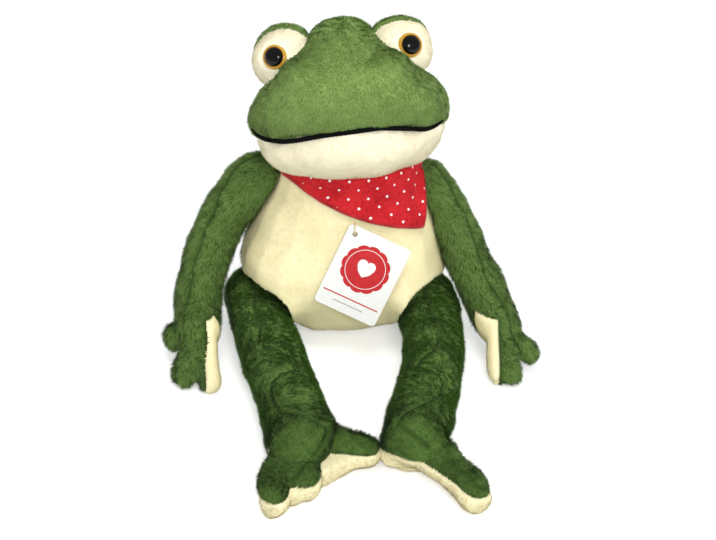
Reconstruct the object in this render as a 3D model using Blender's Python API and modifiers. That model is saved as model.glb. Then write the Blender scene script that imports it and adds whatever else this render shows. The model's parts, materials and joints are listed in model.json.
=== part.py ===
"""A seated plush frog with a neckerchief and a hang tag.

Metres, +Z up. The frog faces -Y and its own left is +X. The origin is on the floor under
the middle of the seat. Every soft piece is a fabric panel over its stuffing: the outer form
is a loft through oval sections, and the cavity and the stuffing are the same loft, set in.
"""
import math

import bmesh
import bpy
from mathutils import Matrix, Vector

# Fabric, seams and running gaps
FABRIC = 0.0025
GAP = 0.0004
FILLING_GAP = 0.0008
SEAM = 0.0006
FLAT_CUT = 0.0005
OVERRUN = 0.4
CREASE_ANGLE = math.radians(50)

# Loft fineness, in counts
SEGMENTS = 20
STEPS = 2
LIMB_SEGMENTS = 14
LIMB_STEPS = 2
CORE_SEGMENTS = 12
CORE_STEPS = 2
DIGIT_SEGMENTS = 10
BALL_RINGS = 12
DOME_STEPS = 4
FINE_STEPS = 8
WELD = 0.00001

# Torso
TORSO_HALF_WIDTH = 0.073
TORSO_HALF_DEPTH = 0.066
TORSO_HEIGHT = 0.140
TORSO_LEAN = 0.004
TORSO_SWAY_SHARE = 0.06
NECK_HEIGHT = 0.130
BELLY_SEAM_Y = -0.003
# height, half width, centre and half depth of each section
TORSO_SHARES = [
    (0.00, 0.00, -0.02, 0.00),
    (0.01, 0.54, -0.05, 0.46),
    (0.07, 0.80, -0.10, 0.70),
    (0.19, 0.95, -0.14, 0.86),
    (0.34, 1.00, -0.16, 0.90),
    (0.51, 0.91, -0.16, 0.83),
    (0.68, 0.79, -0.15, 0.72),
    (0.83, 0.66, -0.14, 0.59),
    (0.95, 0.50, -0.13, 0.46),
    (1.00, 0.00, -0.13, 0.00),
]

# Head, in its own frame: X across, Y up from the mouth, Z forward out of the snout
HEAD_X = 0.008
HEAD_Y = -0.022
HEAD_Z = 0.149
HEAD_TILT = math.radians(30)
HEAD_ROLL = math.radians(5)
HEAD_HALF_WIDTH = 0.068
HEAD_HALF_DEPTH = 0.052
CROWN_HEIGHT = 0.082
CHIN_DROP = 0.029
JAW_BACK = -0.012
# height, half width, front and back of each section, from the chin to the mouth
CHIN_SHARES = [
    (-1.00, 0.00, 0.25, -0.05),
    (-0.94, 0.42, 0.56, 0.40),
    (-0.70, 0.72, 0.78, 0.80),
    (-0.38, 0.87, 0.87, 0.92),
    (-0.07, 0.92, 0.90, 0.94),
]
# the same from the mouth to the crown
CROWN_SHARES = [
    (0.03, 0.96, 0.97, 0.94),
    (0.13, 1.00, 1.02, 0.96),
    (0.26, 1.00, 1.00, 0.97),
    (0.42, 0.89, 0.90, 0.95),
    (0.64, 0.60, 0.70, 0.80),
    (0.84, 0.37, 0.44, 0.58),
    (0.96, 0.19, 0.19, 0.33),
    (1.00, 0.00, -0.07, 0.07),
]
# place across and height of the mouth line, seen from the front
MOUTH_RISE = 0.004
MOUTH_SHARES = [
    (-1.00, 1.60), (-0.90, 0.60), (-0.68, -0.35), (-0.30, -0.10), (0.00, 0.20),
    (0.30, -0.10), (0.68, -0.35), (0.90, 0.60), (1.00, 1.60),
]
MOUTH_CORD_RADIUS = 0.0016
MOUTH_CORD_REACH_SHARE = 0.97
MOUTH_CORD_POINTS = 29

# Eyes, in the head's frame
EYE_ACROSS = 0.0400
EYE_UP = 0.0568
EYE_FORWARD = -0.001
MOUND_RADIUS = 0.0220
LID_THICKNESS = 0.0022
LID_SPLIT = -0.004
LID_TILT = math.radians(30)
EYE_TOE_OUT = math.radians(17)
IRIS_RADIUS = 0.0088
IRIS_THICKNESS = 0.0028
IRIS_SINK = 0.0012
IRIS_TOP_SHARE = 0.93
PUPIL_RADIUS = 0.0062
PUPIL_DOME = 0.0032
PUPIL_SEAT = 0.0008
SHANK_RADIUS = 0.0022
WASHER_RADIUS = 0.0080
WASHER_THICKNESS = 0.0016
WASHER_SEAT = 0.0090
TURN_STEPS = 16

# Arms
SHOULDER_X = 0.052
SHOULDER_Y = 0.000
SHOULDER_Z = {"left": 0.104, "right": 0.109}
SHOULDER_AXIS_TILT = math.radians(20)
# how far an arm's face stands off the torso's farthest point along the axis
SHOULDER_SEAT = {"left": -0.0002, "right": -0.0005}
SHOULDER_FACE_SHARE = 2.8
FILLING_FACE_SHARE = 3.6
ARM_RADIUS = 0.0168
ARM_FORWARD = {"left": 0.080, "right": 0.086}
ARM_OUT = {"left": 0.057, "right": 0.051}
ARM_BOW = {"left": 0.004, "right": 0.019}
ARM_DROP = {"left": 0.090, "right": 0.095}
# out, forward, down and girth along the arm
ARM_SHARES = [
    (-0.30, 0.00, -0.06, 0.00),
    (-0.12, 0.00, -0.02, 0.94),
    (0.18, 0.03, 0.14, 1.01),
    (0.38, 0.17, 0.34, 0.99),
    (0.58, 0.38, 0.56, 0.99),
    (0.78, 0.63, 0.78, 0.97),
    (0.90, 0.82, 0.88, 0.92),
    (0.96, 0.91, 0.94, 0.74),
    (1.00, 1.03, 0.98, 0.00),
]
WRIST_SHARES = (0.88, 0.80, 0.86)
DIGIT_WAIST_SHARE = 0.92
DIGIT_TIP_SHARE = 0.78
FINGER_RADIUS = 0.0082
FINGER_REACH = 0.028
FINGER_FLOOR_GAP = 0.0006
FINGER_ROOT_SHARE = 1.30
# out and forward of each fingertip from the hand
FINGER_SHARES = {
    "left": [(-0.22, 1.02), (0.16, 1.00), (0.74, 0.30)],
    "right": [(-0.42, 1.12), (0.36, 0.86), (0.84, -0.50)],
}
FINGER_LIFT_SHARES = [0.52, 0.60, 1.30]
PALM_TOP = 0.036
PALM_INSET = 0.0055

# Legs
HIP_X = 0.060
HIP_Y = -0.012
HIP_FACE_X = 0.033
LEG_RADIUS = 0.0215
LEG_FORWARD = {"left": 0.177, "right": 0.181}
ANKLE_X = {"left": 0.050, "right": 0.023}
LEG_BOW = {"left": 0.009, "right": 0.003}
# place along the leg and girth
LEG_SHARES = [
    (-0.116, 0.00),
    (-0.078, 0.70),
    (0.00, 1.00),
    (0.25, 1.00),
    (0.50, 0.96),
    (0.75, 0.95),
    (1.00, 0.94),
    (1.10, 0.78),
    (1.17, 0.00),
]
TOE_RADIUS = 0.0120
TOE_REACH = 0.075
TOE_ROOT_SHARE = 1.15
WEB_HALF_HEIGHT = 0.0085
WEB_REACH_SHARE = 0.90
WEB_START_SHARE = 0.10
# place along, width and height of each section of the web
WEB_SHARES = [
    (0.05, 0.35, 1.00),
    (0.40, 0.70, 1.00),
    (0.70, 0.95, 1.00),
    (0.88, 0.90, 0.85),
    (0.96, 0.70, 0.55),
]
# out and forward of each toe tip from the ankle
TOE_SHARES = {
    "left": [(0.55, 0.91), (0.29, 0.43), (-0.28, 0.16)],
    "right": [(0.28, 0.96), (-0.07, 0.72), (-0.66, 0.10)],
}
SOLE_HEIGHT = 0.0160
SOLE_BACK = 0.004
HIP_RISE = math.radians(10)
HIP_CLEARANCE = 0.0008
RECESS_POINTS = 7
RECESS_SHARES = (0.99, 0.90, 0.70, 0.40, 0.00)

# Neckerchief and knot
CLOTH = 0.0016
CLOTH_CLEARANCE = 0.0005
CLOTH_TOP = 0.1288
CLOTH_BAND = 0.0075
CLOTH_DROP = 0.042
CLOTH_APEX_ANGLE = math.radians(-60)
CLOTH_SPREAD = math.radians(118)
CLOTH_BACK_SPREAD = math.radians(19)
CLOTH_CURVE = 1.15
CLOTH_FOLD = 0.0005
CLOTH_FOLDS = 7
CLOTH_AROUND = 48
CLOTH_DOWN = 5
KNOT_SEGMENTS = 14
KNOT_RINGS = 8
KNOT_HALF_WIDTH = 0.010
KNOT_HALF_HEIGHT = 0.006
KNOT_HALF_DEPTH = 0.0055
KNOT_TAIL_LENGTH = 0.024
KNOT_TAIL_WIDTH = 0.013
KNOT_TAIL_SHARES = (0.15, 0.90)
KNOT_BED_SHARES = (0.00, 0.30, 0.60, 0.80, 0.95)

# Hang tag
TAG_WIDTH = 0.046
TAG_HEIGHT = 0.060
TAG_THICKNESS = 0.0008
TAG_CORNER = 0.003
TAG_CORNER_POINTS = 4
TAG_HOLE_RADIUS = 0.0018
TAG_HOLE_EDGE = 0.0060
TAG_HOLE_POINTS = 16
TAG_HOLE_X = 0.0115
TAG_HOLE_Z = 0.0925
TAG_TURN = math.radians(25.5)
TAG_LEAN = math.radians(15)
TAG_STANDOFF = 0.0035
THREAD_RADIUS = 0.0005
THREAD_LOOP = 0.0038
THREAD_HALF_DEPTH = 0.0034
THREAD_POINTS = 20

# Colours, base colour and roughness
GREEN = ((0.035, 0.130, 0.030), 0.90)
LIGHT_GREEN = ((0.060, 0.180, 0.045), 0.90)
CREAM = ((0.800, 0.760, 0.420), 0.90)
STUFFING = ((0.850, 0.850, 0.830), 1.00)
RED = ((0.550, 0.010, 0.020), 0.80)
BLACK = ((0.010, 0.010, 0.010), 0.35)
AMBER = ((0.450, 0.150, 0.010), 0.15)
WHITE = ((0.850, 0.850, 0.850), 0.50)
GOLD = ((0.600, 0.420, 0.120), 0.40)

SIDES = {"left": 1, "right": -1}


def clear_scene():
    for item in list(bpy.data.objects):
        bpy.data.objects.remove(item)


def collection(name):
    made = bpy.data.collections.new(name)
    bpy.context.scene.collection.children.link(made)
    return made


def material(name, finish):
    colour, roughness = finish
    made = bpy.data.materials.new(name)
    made.use_nodes = True
    shader = made.node_tree.nodes["Principled BSDF"]
    shader.inputs["Base Color"].default_value = (*colour, 1)
    shader.inputs["Roughness"].default_value = roughness
    shader.inputs["Metallic"].default_value = 0
    return made


# Lofts

def blend_rows(before, start, end, after, t):
    """Point at share t of the smooth curve from start to end, with its neighbours."""
    row = []
    for p0, p1, p2, p3 in zip(before, start, end, after):
        a = 2 * p1
        b = p2 - p0
        c = 2 * p0 - 5 * p1 + 4 * p2 - p3
        d = 3 * p1 - p0 - 3 * p2 + p3
        row.append((a + b * t + c * t ** 2 + d * t ** 3) / 2)
    return tuple(row)


def beyond_pole(row, radii):
    """The neighbour's mirror image across a pole, so that the end is round."""
    return tuple(-value if place in radii else value for place, value in enumerate(row))


def smooth_rows(rows, radii, steps):
    """Rows along a smooth curve through the given rows, which start and end in poles."""
    padded = [beyond_pole(rows[1], radii), *rows, beyond_pole(rows[-2], radii)]
    result = []
    for i in range(len(rows) - 1):
        end_steps = steps + 1 if i in (0, len(rows) - 2) else steps
        for j in range(end_steps):
            result.append(blend_rows(*padded[i:i + 4], j / end_steps))
    result.append(rows[-1])
    return result


def skin(name, rings):
    """A closed mesh over rings of points, whose first and last ring are one point each."""
    bm = bmesh.new()
    first = bm.verts.new(rings[0][0])
    last = bm.verts.new(rings[-1][0])
    loops = [[bm.verts.new(point) for point in ring] for ring in rings[1:-1]]
    count = len(loops[0])
    for k in range(count):
        after = (k + 1) % count
        bm.faces.new((first, loops[0][after], loops[0][k]))
        bm.faces.new((last, loops[-1][k], loops[-1][after]))
        for low, high in zip(loops, loops[1:]):
            bm.faces.new((low[k], low[after], high[after], high[k]))
    bmesh.ops.recalc_face_normals(bm, faces=bm.faces)
    mesh = bpy.data.meshes.new(name)
    bm.to_mesh(mesh)
    bm.free()
    return mesh


def oval(centre, across, along, segments):
    """Points round an oval with the two given half axes."""
    points = []
    for k in range(segments):
        angle = 2 * math.pi * k / segments
        points.append(centre + across * math.cos(angle) + along * math.sin(angle))
    return points


def stacked_rings(rows, segments, upright):
    """Level ovals from rows of height, half width, centre and half depth."""
    up, forward = upright
    across = Vector((1, 0, 0))
    return [
        oval(up * height + forward * centre, across * width, forward * depth, segments)
        for height, width, centre, depth in rows
    ]


def limb_rings(rows, segments, side):
    """Ovals square to a path, from rows of x, y, z and radius."""
    centres = [Vector(row[:3]) for row in rows]
    rings = []
    for i, row in enumerate(rows):
        ahead = centres[min(i + 1, len(rows) - 1)]
        behind = centres[max(i - 1, 0)]
        along = (ahead - behind).normalized()
        across = (side - along * side.dot(along)).normalized()
        rings.append(oval(centres[i], across * row[3], along.cross(across) * row[3], segments))
    return rings


def set_in(rows, radii, inset):
    """The same rows with every radius smaller by the inset, poles left at nought."""
    return [
        tuple(value - inset if place in radii and value else value for place, value in enumerate(row))
        for row in rows
    ]


def set_in_limb(rows, inset):
    """A limb's sections set in on every side, also at its two ends."""
    inner = set_in(rows, (3,), inset)
    for end, neighbour in ((0, 1), (-1, -2)):
        tip = Vector(rows[end][:3])
        step = (Vector(rows[neighbour][:3]) - tip).normalized()
        inner[end] = (*(tip + step * inset), 0)
    return inner


# Objects, placed at their joint and cut by one another

class Workshop:
    """Makes objects in the frog's collection, or cutters in their own."""

    def __init__(self):
        self.parts = collection("plush_frog")
        self.tools = collection("cutters")
        self.finishes = {}

    def finish(self, name, values):
        if name not in self.finishes:
            self.finishes[name] = material(name, values)
        return self.finishes[name]

    def part(self, name, mesh, pivot, finish_name, values, frame=None):
        """A visible piece. Its mesh is given in the frame, and its origin is at the pivot."""
        piece = bpy.data.objects.new(name, mesh)
        self.parts.objects.link(piece)
        mesh.materials.append(self.finish(finish_name, values))
        mesh.shade_smooth()
        mesh.set_sharp_from_angle(angle=CREASE_ANGLE)
        place_at_pivot(piece, mesh, pivot, frame)
        return piece

    def cutter(self, name, mesh, frame=None):
        tool = bpy.data.objects.new(name, mesh)
        self.tools.objects.link(tool)
        tool.hide_render = True
        tool.display_type = "WIRE"
        if frame is not None:
            tool.matrix_world = frame
        return tool

    def box(self, name, low, high, frame=None):
        bm = bmesh.new()
        bmesh.ops.create_cube(bm, size=1)
        size = Vector(high) - Vector(low)
        middle = (Vector(high) + Vector(low)) / 2
        bmesh.ops.scale(bm, vec=size, verts=bm.verts)
        bmesh.ops.translate(bm, vec=middle, verts=bm.verts)
        mesh = bpy.data.meshes.new(name)
        bm.to_mesh(mesh)
        bm.free()
        return self.cutter(name, mesh, frame)

    def slab(self, name, outline, half_thickness, frame):
        """A flat outline made as thick as twice the half thickness."""
        curve = bpy.data.curves.new(name, "CURVE")
        curve.dimensions = "2D"
        curve.fill_mode = "BOTH"
        curve.extrude = half_thickness
        for loop in outline:
            spline = curve.splines.new("POLY")
            spline.points.add(len(loop) - 1)
            for point, (x, y) in zip(spline.points, loop):
                point.co = (x, y, 0, 1)
            spline.use_cyclic_u = True
        return welded_mesh(name, curve), frame


def place_at_pivot(piece, mesh, pivot, frame):
    if frame is not None:
        mesh.transform(frame)
    mesh.transform(Matrix.Translation(-pivot.location))
    piece.parent = pivot


def welded_mesh(name, curve):
    """A curve's filled shape as a closed mesh."""
    holder = bpy.data.objects.new(name, curve)
    bpy.context.scene.collection.objects.link(holder)
    graph = bpy.context.evaluated_depsgraph_get()
    mesh = bpy.data.meshes.new_from_object(holder.evaluated_get(graph))
    bpy.data.objects.remove(holder)
    bm = bmesh.new()
    bm.from_mesh(mesh)
    bmesh.ops.remove_doubles(bm, verts=bm.verts, dist=WELD)
    bmesh.ops.recalc_face_normals(bm, faces=bm.faces)
    bm.to_mesh(mesh)
    bm.free()
    mesh.name = name
    return mesh


def cut(piece, tool, operation="DIFFERENCE"):
    modifier = piece.modifiers.new(f"{operation.lower()} {tool.name}", "BOOLEAN")
    modifier.operation = operation
    modifier.solver = "EXACT"
    modifier.object = tool


def pivot(name, place):
    holder = bpy.data.objects.new(name, None)
    bpy.context.scene.collection.objects.link(holder)
    holder.location = place
    holder.empty_display_size = FABRIC
    return holder


# Torso

def torso_rows(inset):
    rows = []
    for height, width, centre, depth in TORSO_SHARES:
        rows.append((
            height * TORSO_HEIGHT - FLAT_CUT,
            width * TORSO_HALF_WIDTH,
            centre * TORSO_HALF_DEPTH + TORSO_LEAN,
            depth * TORSO_HALF_DEPTH,
        ))
    return set_in_stack(rows, inset)


def set_in_stack(rows, inset):
    """Level sections set in on every side, also at the two poles."""
    low, high = rows[0], rows[-1]
    inner = set_in(rows[1:-1], (1, 3), inset)
    bottom = (low[0] + inset, *low[1:])
    top = (high[0] - inset, *high[1:])
    inner[0] = (max(inner[0][0], bottom[0] + inset / 2), *inner[0][1:])
    return [bottom, *inner, top]


def sway(height):
    """How far the sitting torso leans to its left at a height."""
    return TORSO_SWAY_SHARE * height


def torso_mesh(name, inset, segments=SEGMENTS, steps=STEPS):
    rows = smooth_rows(torso_rows(inset), (1, 3), steps)
    mesh = skin(name, stacked_rings(rows, segments, (Vector((0, 0, 1)), Vector((0, 1, 0)))))
    for vertex in mesh.vertices:
        vertex.co.x += sway(vertex.co.z)
    return mesh


def torso_section(height):
    """Half width, centre and half depth of the torso at a height."""
    rows = smooth_rows(torso_rows(0), (1, 3), FINE_STEPS)
    for low, high in zip(rows, rows[1:]):
        if low[0] <= height <= high[0]:
            t = (height - low[0]) / (high[0] - low[0])
            return [a + (b - a) * t for a, b in zip(low[1:], high[1:])]
    return rows[-1][1:]


def torso_reach(side, axis):
    """How far the torso's side goes along an axis that has no forward part."""
    sign = SIDES[side]
    rows = smooth_rows(torso_rows(0), (1, 3), FINE_STEPS)
    return max(Vector((sway(row[0]) + sign * row[1], 0, row[0])).dot(axis) for row in rows)


def recess_outline(radius):
    """The side view of what a thigh of this radius fills and sweeps, level to straight down."""
    start = math.pi / 2 - HIP_RISE
    outline = []
    for k in range(RECESS_POINTS + 1):
        angle = start * (1 - k / RECESS_POINTS)
        height = LEG_RADIUS - FLAT_CUT + radius * math.sin(angle)
        outline.append((HIP_Y + radius * math.cos(angle), height))
    outline.append((HIP_Y + radius, -OVERRUN))
    outline.append((-OVERRUN, -OVERRUN))
    reach = OVERRUN + outline[0][0]
    outline.append((-OVERRUN, outline[0][1] + reach * math.tan(HIP_RISE)))
    return outline


def hip_recess(shop, side, grow):
    """The space for a thigh in the torso: round on its inner side, open outwards."""
    full = LEG_RADIUS + HIP_CLEARANCE + grow
    at_belly = leg_point(side, TORSO_HALF_DEPTH / LEG_FORWARD[side], 0)
    middle = min(HIP_X, abs(at_belly.x))
    rings = []
    for share in RECESS_SHARES:
        across = middle - full * share
        radius = full * math.sqrt(1 - share ** 2)
        rings.append([Vector((SIDES[side] * across, y, z)) for y, z in recess_outline(radius)])
    rings.append([Vector((SIDES[side] * OVERRUN, y, z)) for y, z in recess_outline(full)])
    bm = bmesh.new()
    loops = [[bm.verts.new(point) for point in ring] for ring in rings]
    count = len(loops[0])
    bm.faces.new(loops[0])
    bm.faces.new(loops[-1])
    for low, high in zip(loops, loops[1:]):
        for k in range(count):
            after = (k + 1) % count
            bm.faces.new((low[k], low[after], high[after], high[k]))
    bmesh.ops.recalc_face_normals(bm, faces=bm.faces)
    mesh = bpy.data.meshes.new(f"{side}_hip_recess")
    bm.to_mesh(mesh)
    bm.free()
    return shop.cutter(f"{side}_hip_recess", mesh)


def make_torso(shop, pivot_torso, floor, above_neck):
    panels = {
        "belly_panel": ("cream_plush", CREAM, (-OVERRUN, -OVERRUN, -OVERRUN),
                        (OVERRUN, BELLY_SEAM_Y - SEAM / 2, OVERRUN)),
        "back_panel": ("green_plush", GREEN, (-OVERRUN, BELLY_SEAM_Y + SEAM / 2, -OVERRUN),
                       (OVERRUN, OVERRUN, OVERRUN)),
    }
    cavity = shop.cutter("torso_cavity", torso_mesh("torso_cavity", FABRIC, LIMB_SEGMENTS))
    for side in SIDES:
        cut(cavity, hip_recess(shop, side, FABRIC))
    recesses = [hip_recess(shop, side, 0) for side in SIDES]
    for name, (finish, values, low, high) in panels.items():
        panel = shop.part(name, torso_mesh(name, 0), pivot_torso, finish, values)
        cut(panel, floor)
        for recess in recesses:
            cut(panel, recess)
        cut(panel, cavity)
        cut(panel, above_neck)
        cut(panel, shop.box(f"{name}_region", low, high), "INTERSECT")
    inset = FABRIC + FILLING_GAP
    mesh = torso_mesh("torso_filling", inset, LIMB_SEGMENTS)
    filling = shop.part("torso_filling", mesh, pivot_torso, "stuffing", STUFFING)
    for side in SIDES:
        cut(filling, hip_recess(shop, side, inset))
    cut(filling, above_neck)


# Head

def head_frame():
    """From the head's own axes, up being Y and forward being Z, to the world's."""
    stand = Matrix(((1, 0, 0, 0), (0, 0, -1, 0), (0, 1, 0, 0), (0, 0, 0, 1)))
    tilt = Matrix.Rotation(-HEAD_TILT, 4, "X")
    roll = Matrix.Rotation(HEAD_ROLL, 4, "Z")
    return Matrix.Translation((HEAD_X, HEAD_Y, HEAD_Z)) @ tilt @ stand @ roll


def head_rows(inset):
    rows = []
    for shares, tall in ((CHIN_SHARES, CHIN_DROP), (CROWN_SHARES, CROWN_HEIGHT)):
        for height, width, front, back in shares:
            rows.append((
                height * tall,
                width * HEAD_HALF_WIDTH,
                (front - back) / 2 * HEAD_HALF_DEPTH,
                (front + back) / 2 * HEAD_HALF_DEPTH if width else 0,
            ))
    return set_in_stack(rows, inset)


def head_mesh(name, inset, segments=SEGMENTS, steps=STEPS):
    rows = smooth_rows(head_rows(inset), (1, 3), steps)
    return skin(name, stacked_rings(rows, segments, (Vector((0, 1, 0)), Vector((0, 0, 1)))))


def mouth_height(across):
    """Height of the mouth line at a place across the head."""
    share = max(-1, min(1, across / HEAD_HALF_WIDTH))
    for (x0, y0), (x1, y1) in zip(MOUTH_SHARES, MOUTH_SHARES[1:]):
        if x0 <= share <= x1:
            t = (share - x0) / (x1 - x0)
            ease = t * t * (3 - 2 * t)
            return MOUTH_RISE * (y0 + (y1 - y0) * ease)
    return MOUTH_RISE


def jaw_region(shop, name, grow):
    """Everything below the mouth line and in front of the jaw's back seam."""
    outline = []
    for k in range(MOUTH_CORD_POINTS):
        x = HEAD_HALF_WIDTH * (2 * k / (MOUTH_CORD_POINTS - 1) - 1)
        outline.append((x, mouth_height(x) + grow))
    outline.insert(0, (-OVERRUN, outline[0][1]))
    outline.append((OVERRUN, outline[-1][1]))
    outline.append((OVERRUN, -OVERRUN))
    outline.append((-OVERRUN, -OVERRUN))
    back = JAW_BACK - grow
    half = OVERRUN / 2
    shift = Matrix.Translation((0, 0, back + half))
    mesh, frame = shop.slab(name, [outline], half, head_frame() @ shift)
    return shop.cutter(name, mesh, frame)


def mouth_point(across, stand_off):
    """A point on the mouth line, in front of the head's surface by the stand-off."""
    height = mouth_height(across)
    rows = smooth_rows(head_rows(0), (1, 3), FINE_STEPS)
    for low, high in zip(rows, rows[1:]):
        if low[0] <= height <= high[0]:
            t = (height - low[0]) / (high[0] - low[0])
            width, centre, depth = [a + (b - a) * t for a, b in zip(low[1:], high[1:])]
            angle = math.acos(max(-1, min(1, across / width)))
            outward = Vector((math.cos(angle) * depth, 0, math.sin(angle) * width)).normalized()
            on_skin = Vector((width * math.cos(angle), height, centre + depth * math.sin(angle)))
            return on_skin + outward * stand_off
    return Vector((across, height, 0))


def mouth_cord_mesh(name, radius, overrun):
    """A round cord along the mouth, half sunk between the lips."""
    reach = MOUTH_CORD_REACH_SHARE * CHIN_SHARES[-1][1] * HEAD_HALF_WIDTH + overrun
    curve = bpy.data.curves.new(name, "CURVE")
    curve.dimensions = "3D"
    curve.bevel_depth = radius
    curve.bevel_resolution = 2
    curve.use_fill_caps = True
    spline = curve.splines.new("POLY")
    spline.points.add(MOUTH_CORD_POINTS - 1)
    for k, point in enumerate(spline.points):
        share = 2 * k / (MOUTH_CORD_POINTS - 1) - 1
        across = reach * math.sin(share * math.pi / 2)
        point.co = (*mouth_point(across, -MOUTH_CORD_RADIUS / 4), 1)
    return welded_mesh(name, curve)


def make_head(shop, neck, below_neck):
    frame = head_frame()
    cavity = shop.cutter("head_cavity", head_mesh("head_cavity", FABRIC, LIMB_SEGMENTS), frame)
    groove = shop.cutter("mouth_groove",
                         mouth_cord_mesh("mouth_groove", MOUTH_CORD_RADIUS + GAP, GAP), frame)
    top = shop.part("head_top_panel", head_mesh("head_top_panel", 0), neck,
                    "light_green_plush", LIGHT_GREEN, frame)
    jaw = shop.part("jaw_panel", head_mesh("jaw_panel", 0), neck, "cream_plush", CREAM, frame)
    for panel in (top, jaw):
        cut(panel, cavity)
        cut(panel, groove)
        cut(panel, below_neck)
    cut(top, jaw_region(shop, "above_mouth", SEAM / 2))
    cut(jaw, jaw_region(shop, "below_mouth", -SEAM / 2), "INTERSECT")
    mesh = head_mesh("head_filling", FABRIC + FILLING_GAP, LIMB_SEGMENTS)
    filling = shop.part("head_filling", mesh, neck, "stuffing", STUFFING, frame)
    cut(filling, below_neck)
    mesh = mouth_cord_mesh("mouth_cord", MOUTH_CORD_RADIUS, 0)
    cord = shop.part("mouth_cord", mesh, neck, "black_cord", BLACK, frame)
    bed = shop.cutter("mouth_cord_bed", head_mesh("mouth_cord_bed", FABRIC - GAP), frame)
    cut(cord, bed)
    return top, filling


# Eyes

def turned_mesh(name, profile):
    """A turned solid about Z. The profile runs down its outer side from the axis."""
    bm = bmesh.new()
    points = [bm.verts.new((x, 0, z)) for x, z in profile]
    for a, b in zip(points, points[1:]):
        bm.edges.new((a, b))
    mesh = bpy.data.meshes.new(name)
    bm.to_mesh(mesh)
    bm.free()
    holder = bpy.data.objects.new(name, mesh)
    bpy.context.scene.collection.objects.link(holder)
    screw = holder.modifiers.new("turn", "SCREW")
    screw.steps = TURN_STEPS
    screw.render_steps = TURN_STEPS
    screw.use_merge_vertices = True
    screw.merge_threshold = WELD
    graph = bpy.context.evaluated_depsgraph_get()
    solid = bpy.data.meshes.new_from_object(holder.evaluated_get(graph))
    bpy.data.objects.remove(holder)
    bm = bmesh.new()
    bm.from_mesh(solid)
    bmesh.ops.remove_doubles(bm, verts=bm.verts, dist=WELD)
    bmesh.ops.recalc_face_normals(bm, faces=bm.faces)
    bm.to_mesh(solid)
    bm.free()
    solid.name = name
    return solid


def ball_mesh(name, radius):
    bm = bmesh.new()
    bmesh.ops.create_uvsphere(bm, u_segments=SEGMENTS, v_segments=BALL_RINGS, radius=radius)
    mesh = bpy.data.meshes.new(name)
    bm.to_mesh(mesh)
    bm.free()
    return mesh


def eye_frame(side):
    """From the eye's own axes, Z out of the pupil, to the world's."""
    sign = SIDES[side]
    place = Matrix.Translation((sign * EYE_ACROSS, EYE_UP, EYE_FORWARD))
    return head_frame() @ place @ Matrix.Rotation(sign * EYE_TOE_OUT, 4, "Y")


def dome(radius, height, base):
    """A domed outline from the axis out to the rim."""
    turns = [math.pi / 2 * k / DOME_STEPS for k in range(DOME_STEPS + 1)]
    return [(radius * math.sin(turn), base + height * math.cos(turn)) for turn in turns]


def make_eye(shop, neck, side, head_pieces, head_solid):
    frame = eye_frame(side)
    face = MOUND_RADIUS - IRIS_SINK
    rim_depth = MOUND_RADIUS - math.sqrt(MOUND_RADIUS ** 2 - IRIS_RADIUS ** 2)
    seat = face - rim_depth
    back = WASHER_SEAT + WASHER_THICKNESS + GAP
    split = frame @ Matrix.Rotation(LID_TILT, 4, "X")

    mound = shop.part(f"{side}_eye_mound", ball_mesh("mound", MOUND_RADIUS), neck,
                      "cream_plush", CREAM, frame)
    lid = shop.part(f"{side}_eyelid", ball_mesh("lid", MOUND_RADIUS + LID_THICKNESS), neck,
                    "light_green_plush", LIGHT_GREEN, frame)
    cut(mound, shop.box(f"{side}_mound_back", (-OVERRUN, -OVERRUN, -OVERRUN),
                        (OVERRUN, OVERRUN, LID_SPLIT + SEAM / 2), split))
    cut(lid, shop.box(f"{side}_lid_front", (-OVERRUN, -OVERRUN, LID_SPLIT - SEAM / 2),
                      (OVERRUN, OVERRUN, OVERRUN), split))
    for piece in (mound, lid):
        cut(piece, head_solid)

    socket = [(0, OVERRUN), (IRIS_RADIUS + GAP, OVERRUN), (IRIS_RADIUS + GAP, seat - GAP),
              (SHANK_RADIUS + GAP, seat - GAP), (SHANK_RADIUS + GAP, back),
              (WASHER_RADIUS + GAP, back), (WASHER_RADIUS + GAP, WASHER_SEAT - GAP),
              (0, WASHER_SEAT - GAP)]
    tool = shop.cutter(f"{side}_eye_socket", turned_mesh("socket", socket), frame)
    for piece in (mound, *head_pieces):
        cut(piece, tool)

    hub = SHANK_RADIUS + GAP
    well = PUPIL_RADIUS + GAP
    top = seat + IRIS_THICKNESS
    iris = [(well, top + PUPIL_SEAT), (IRIS_RADIUS * IRIS_TOP_SHARE, top - PUPIL_SEAT / 2),
            (IRIS_RADIUS, top - IRIS_THICKNESS / 2), (IRIS_RADIUS, seat), (hub, seat),
            (hub, top - PUPIL_SEAT), (well, top - PUPIL_SEAT), (well, top + PUPIL_SEAT)]
    shop.part(f"{side}_eye_iris", turned_mesh("iris", iris), neck, "amber_eye", AMBER, frame)

    floor = top - PUPIL_SEAT + GAP
    tail = WASHER_SEAT + SEAM
    pupil = [*dome(PUPIL_RADIUS, PUPIL_DOME, floor + PUPIL_SEAT), (PUPIL_RADIUS, floor),
             (SHANK_RADIUS, floor), (SHANK_RADIUS, tail), (0, tail)]
    shop.part(f"{side}_eye_pupil", turned_mesh("pupil", pupil), neck, "black_eye", BLACK, frame)

    high = WASHER_SEAT + WASHER_THICKNESS
    washer = [(hub, high), (WASHER_RADIUS, high), (WASHER_RADIUS, WASHER_SEAT),
              (hub, WASHER_SEAT), (hub, high)]
    shop.part(f"{side}_eye_washer", turned_mesh("washer", washer), neck,
              "white_plastic", WHITE, frame)


# Arms

def shoulder_axis(side):
    return Vector((SIDES[side] * math.cos(SHOULDER_AXIS_TILT), 0, math.sin(SHOULDER_AXIS_TILT)))


def shoulder_place(side):
    height = SHOULDER_Z[side]
    return Vector((SIDES[side] * SHOULDER_X + sway(height), SHOULDER_Y, height))


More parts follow.
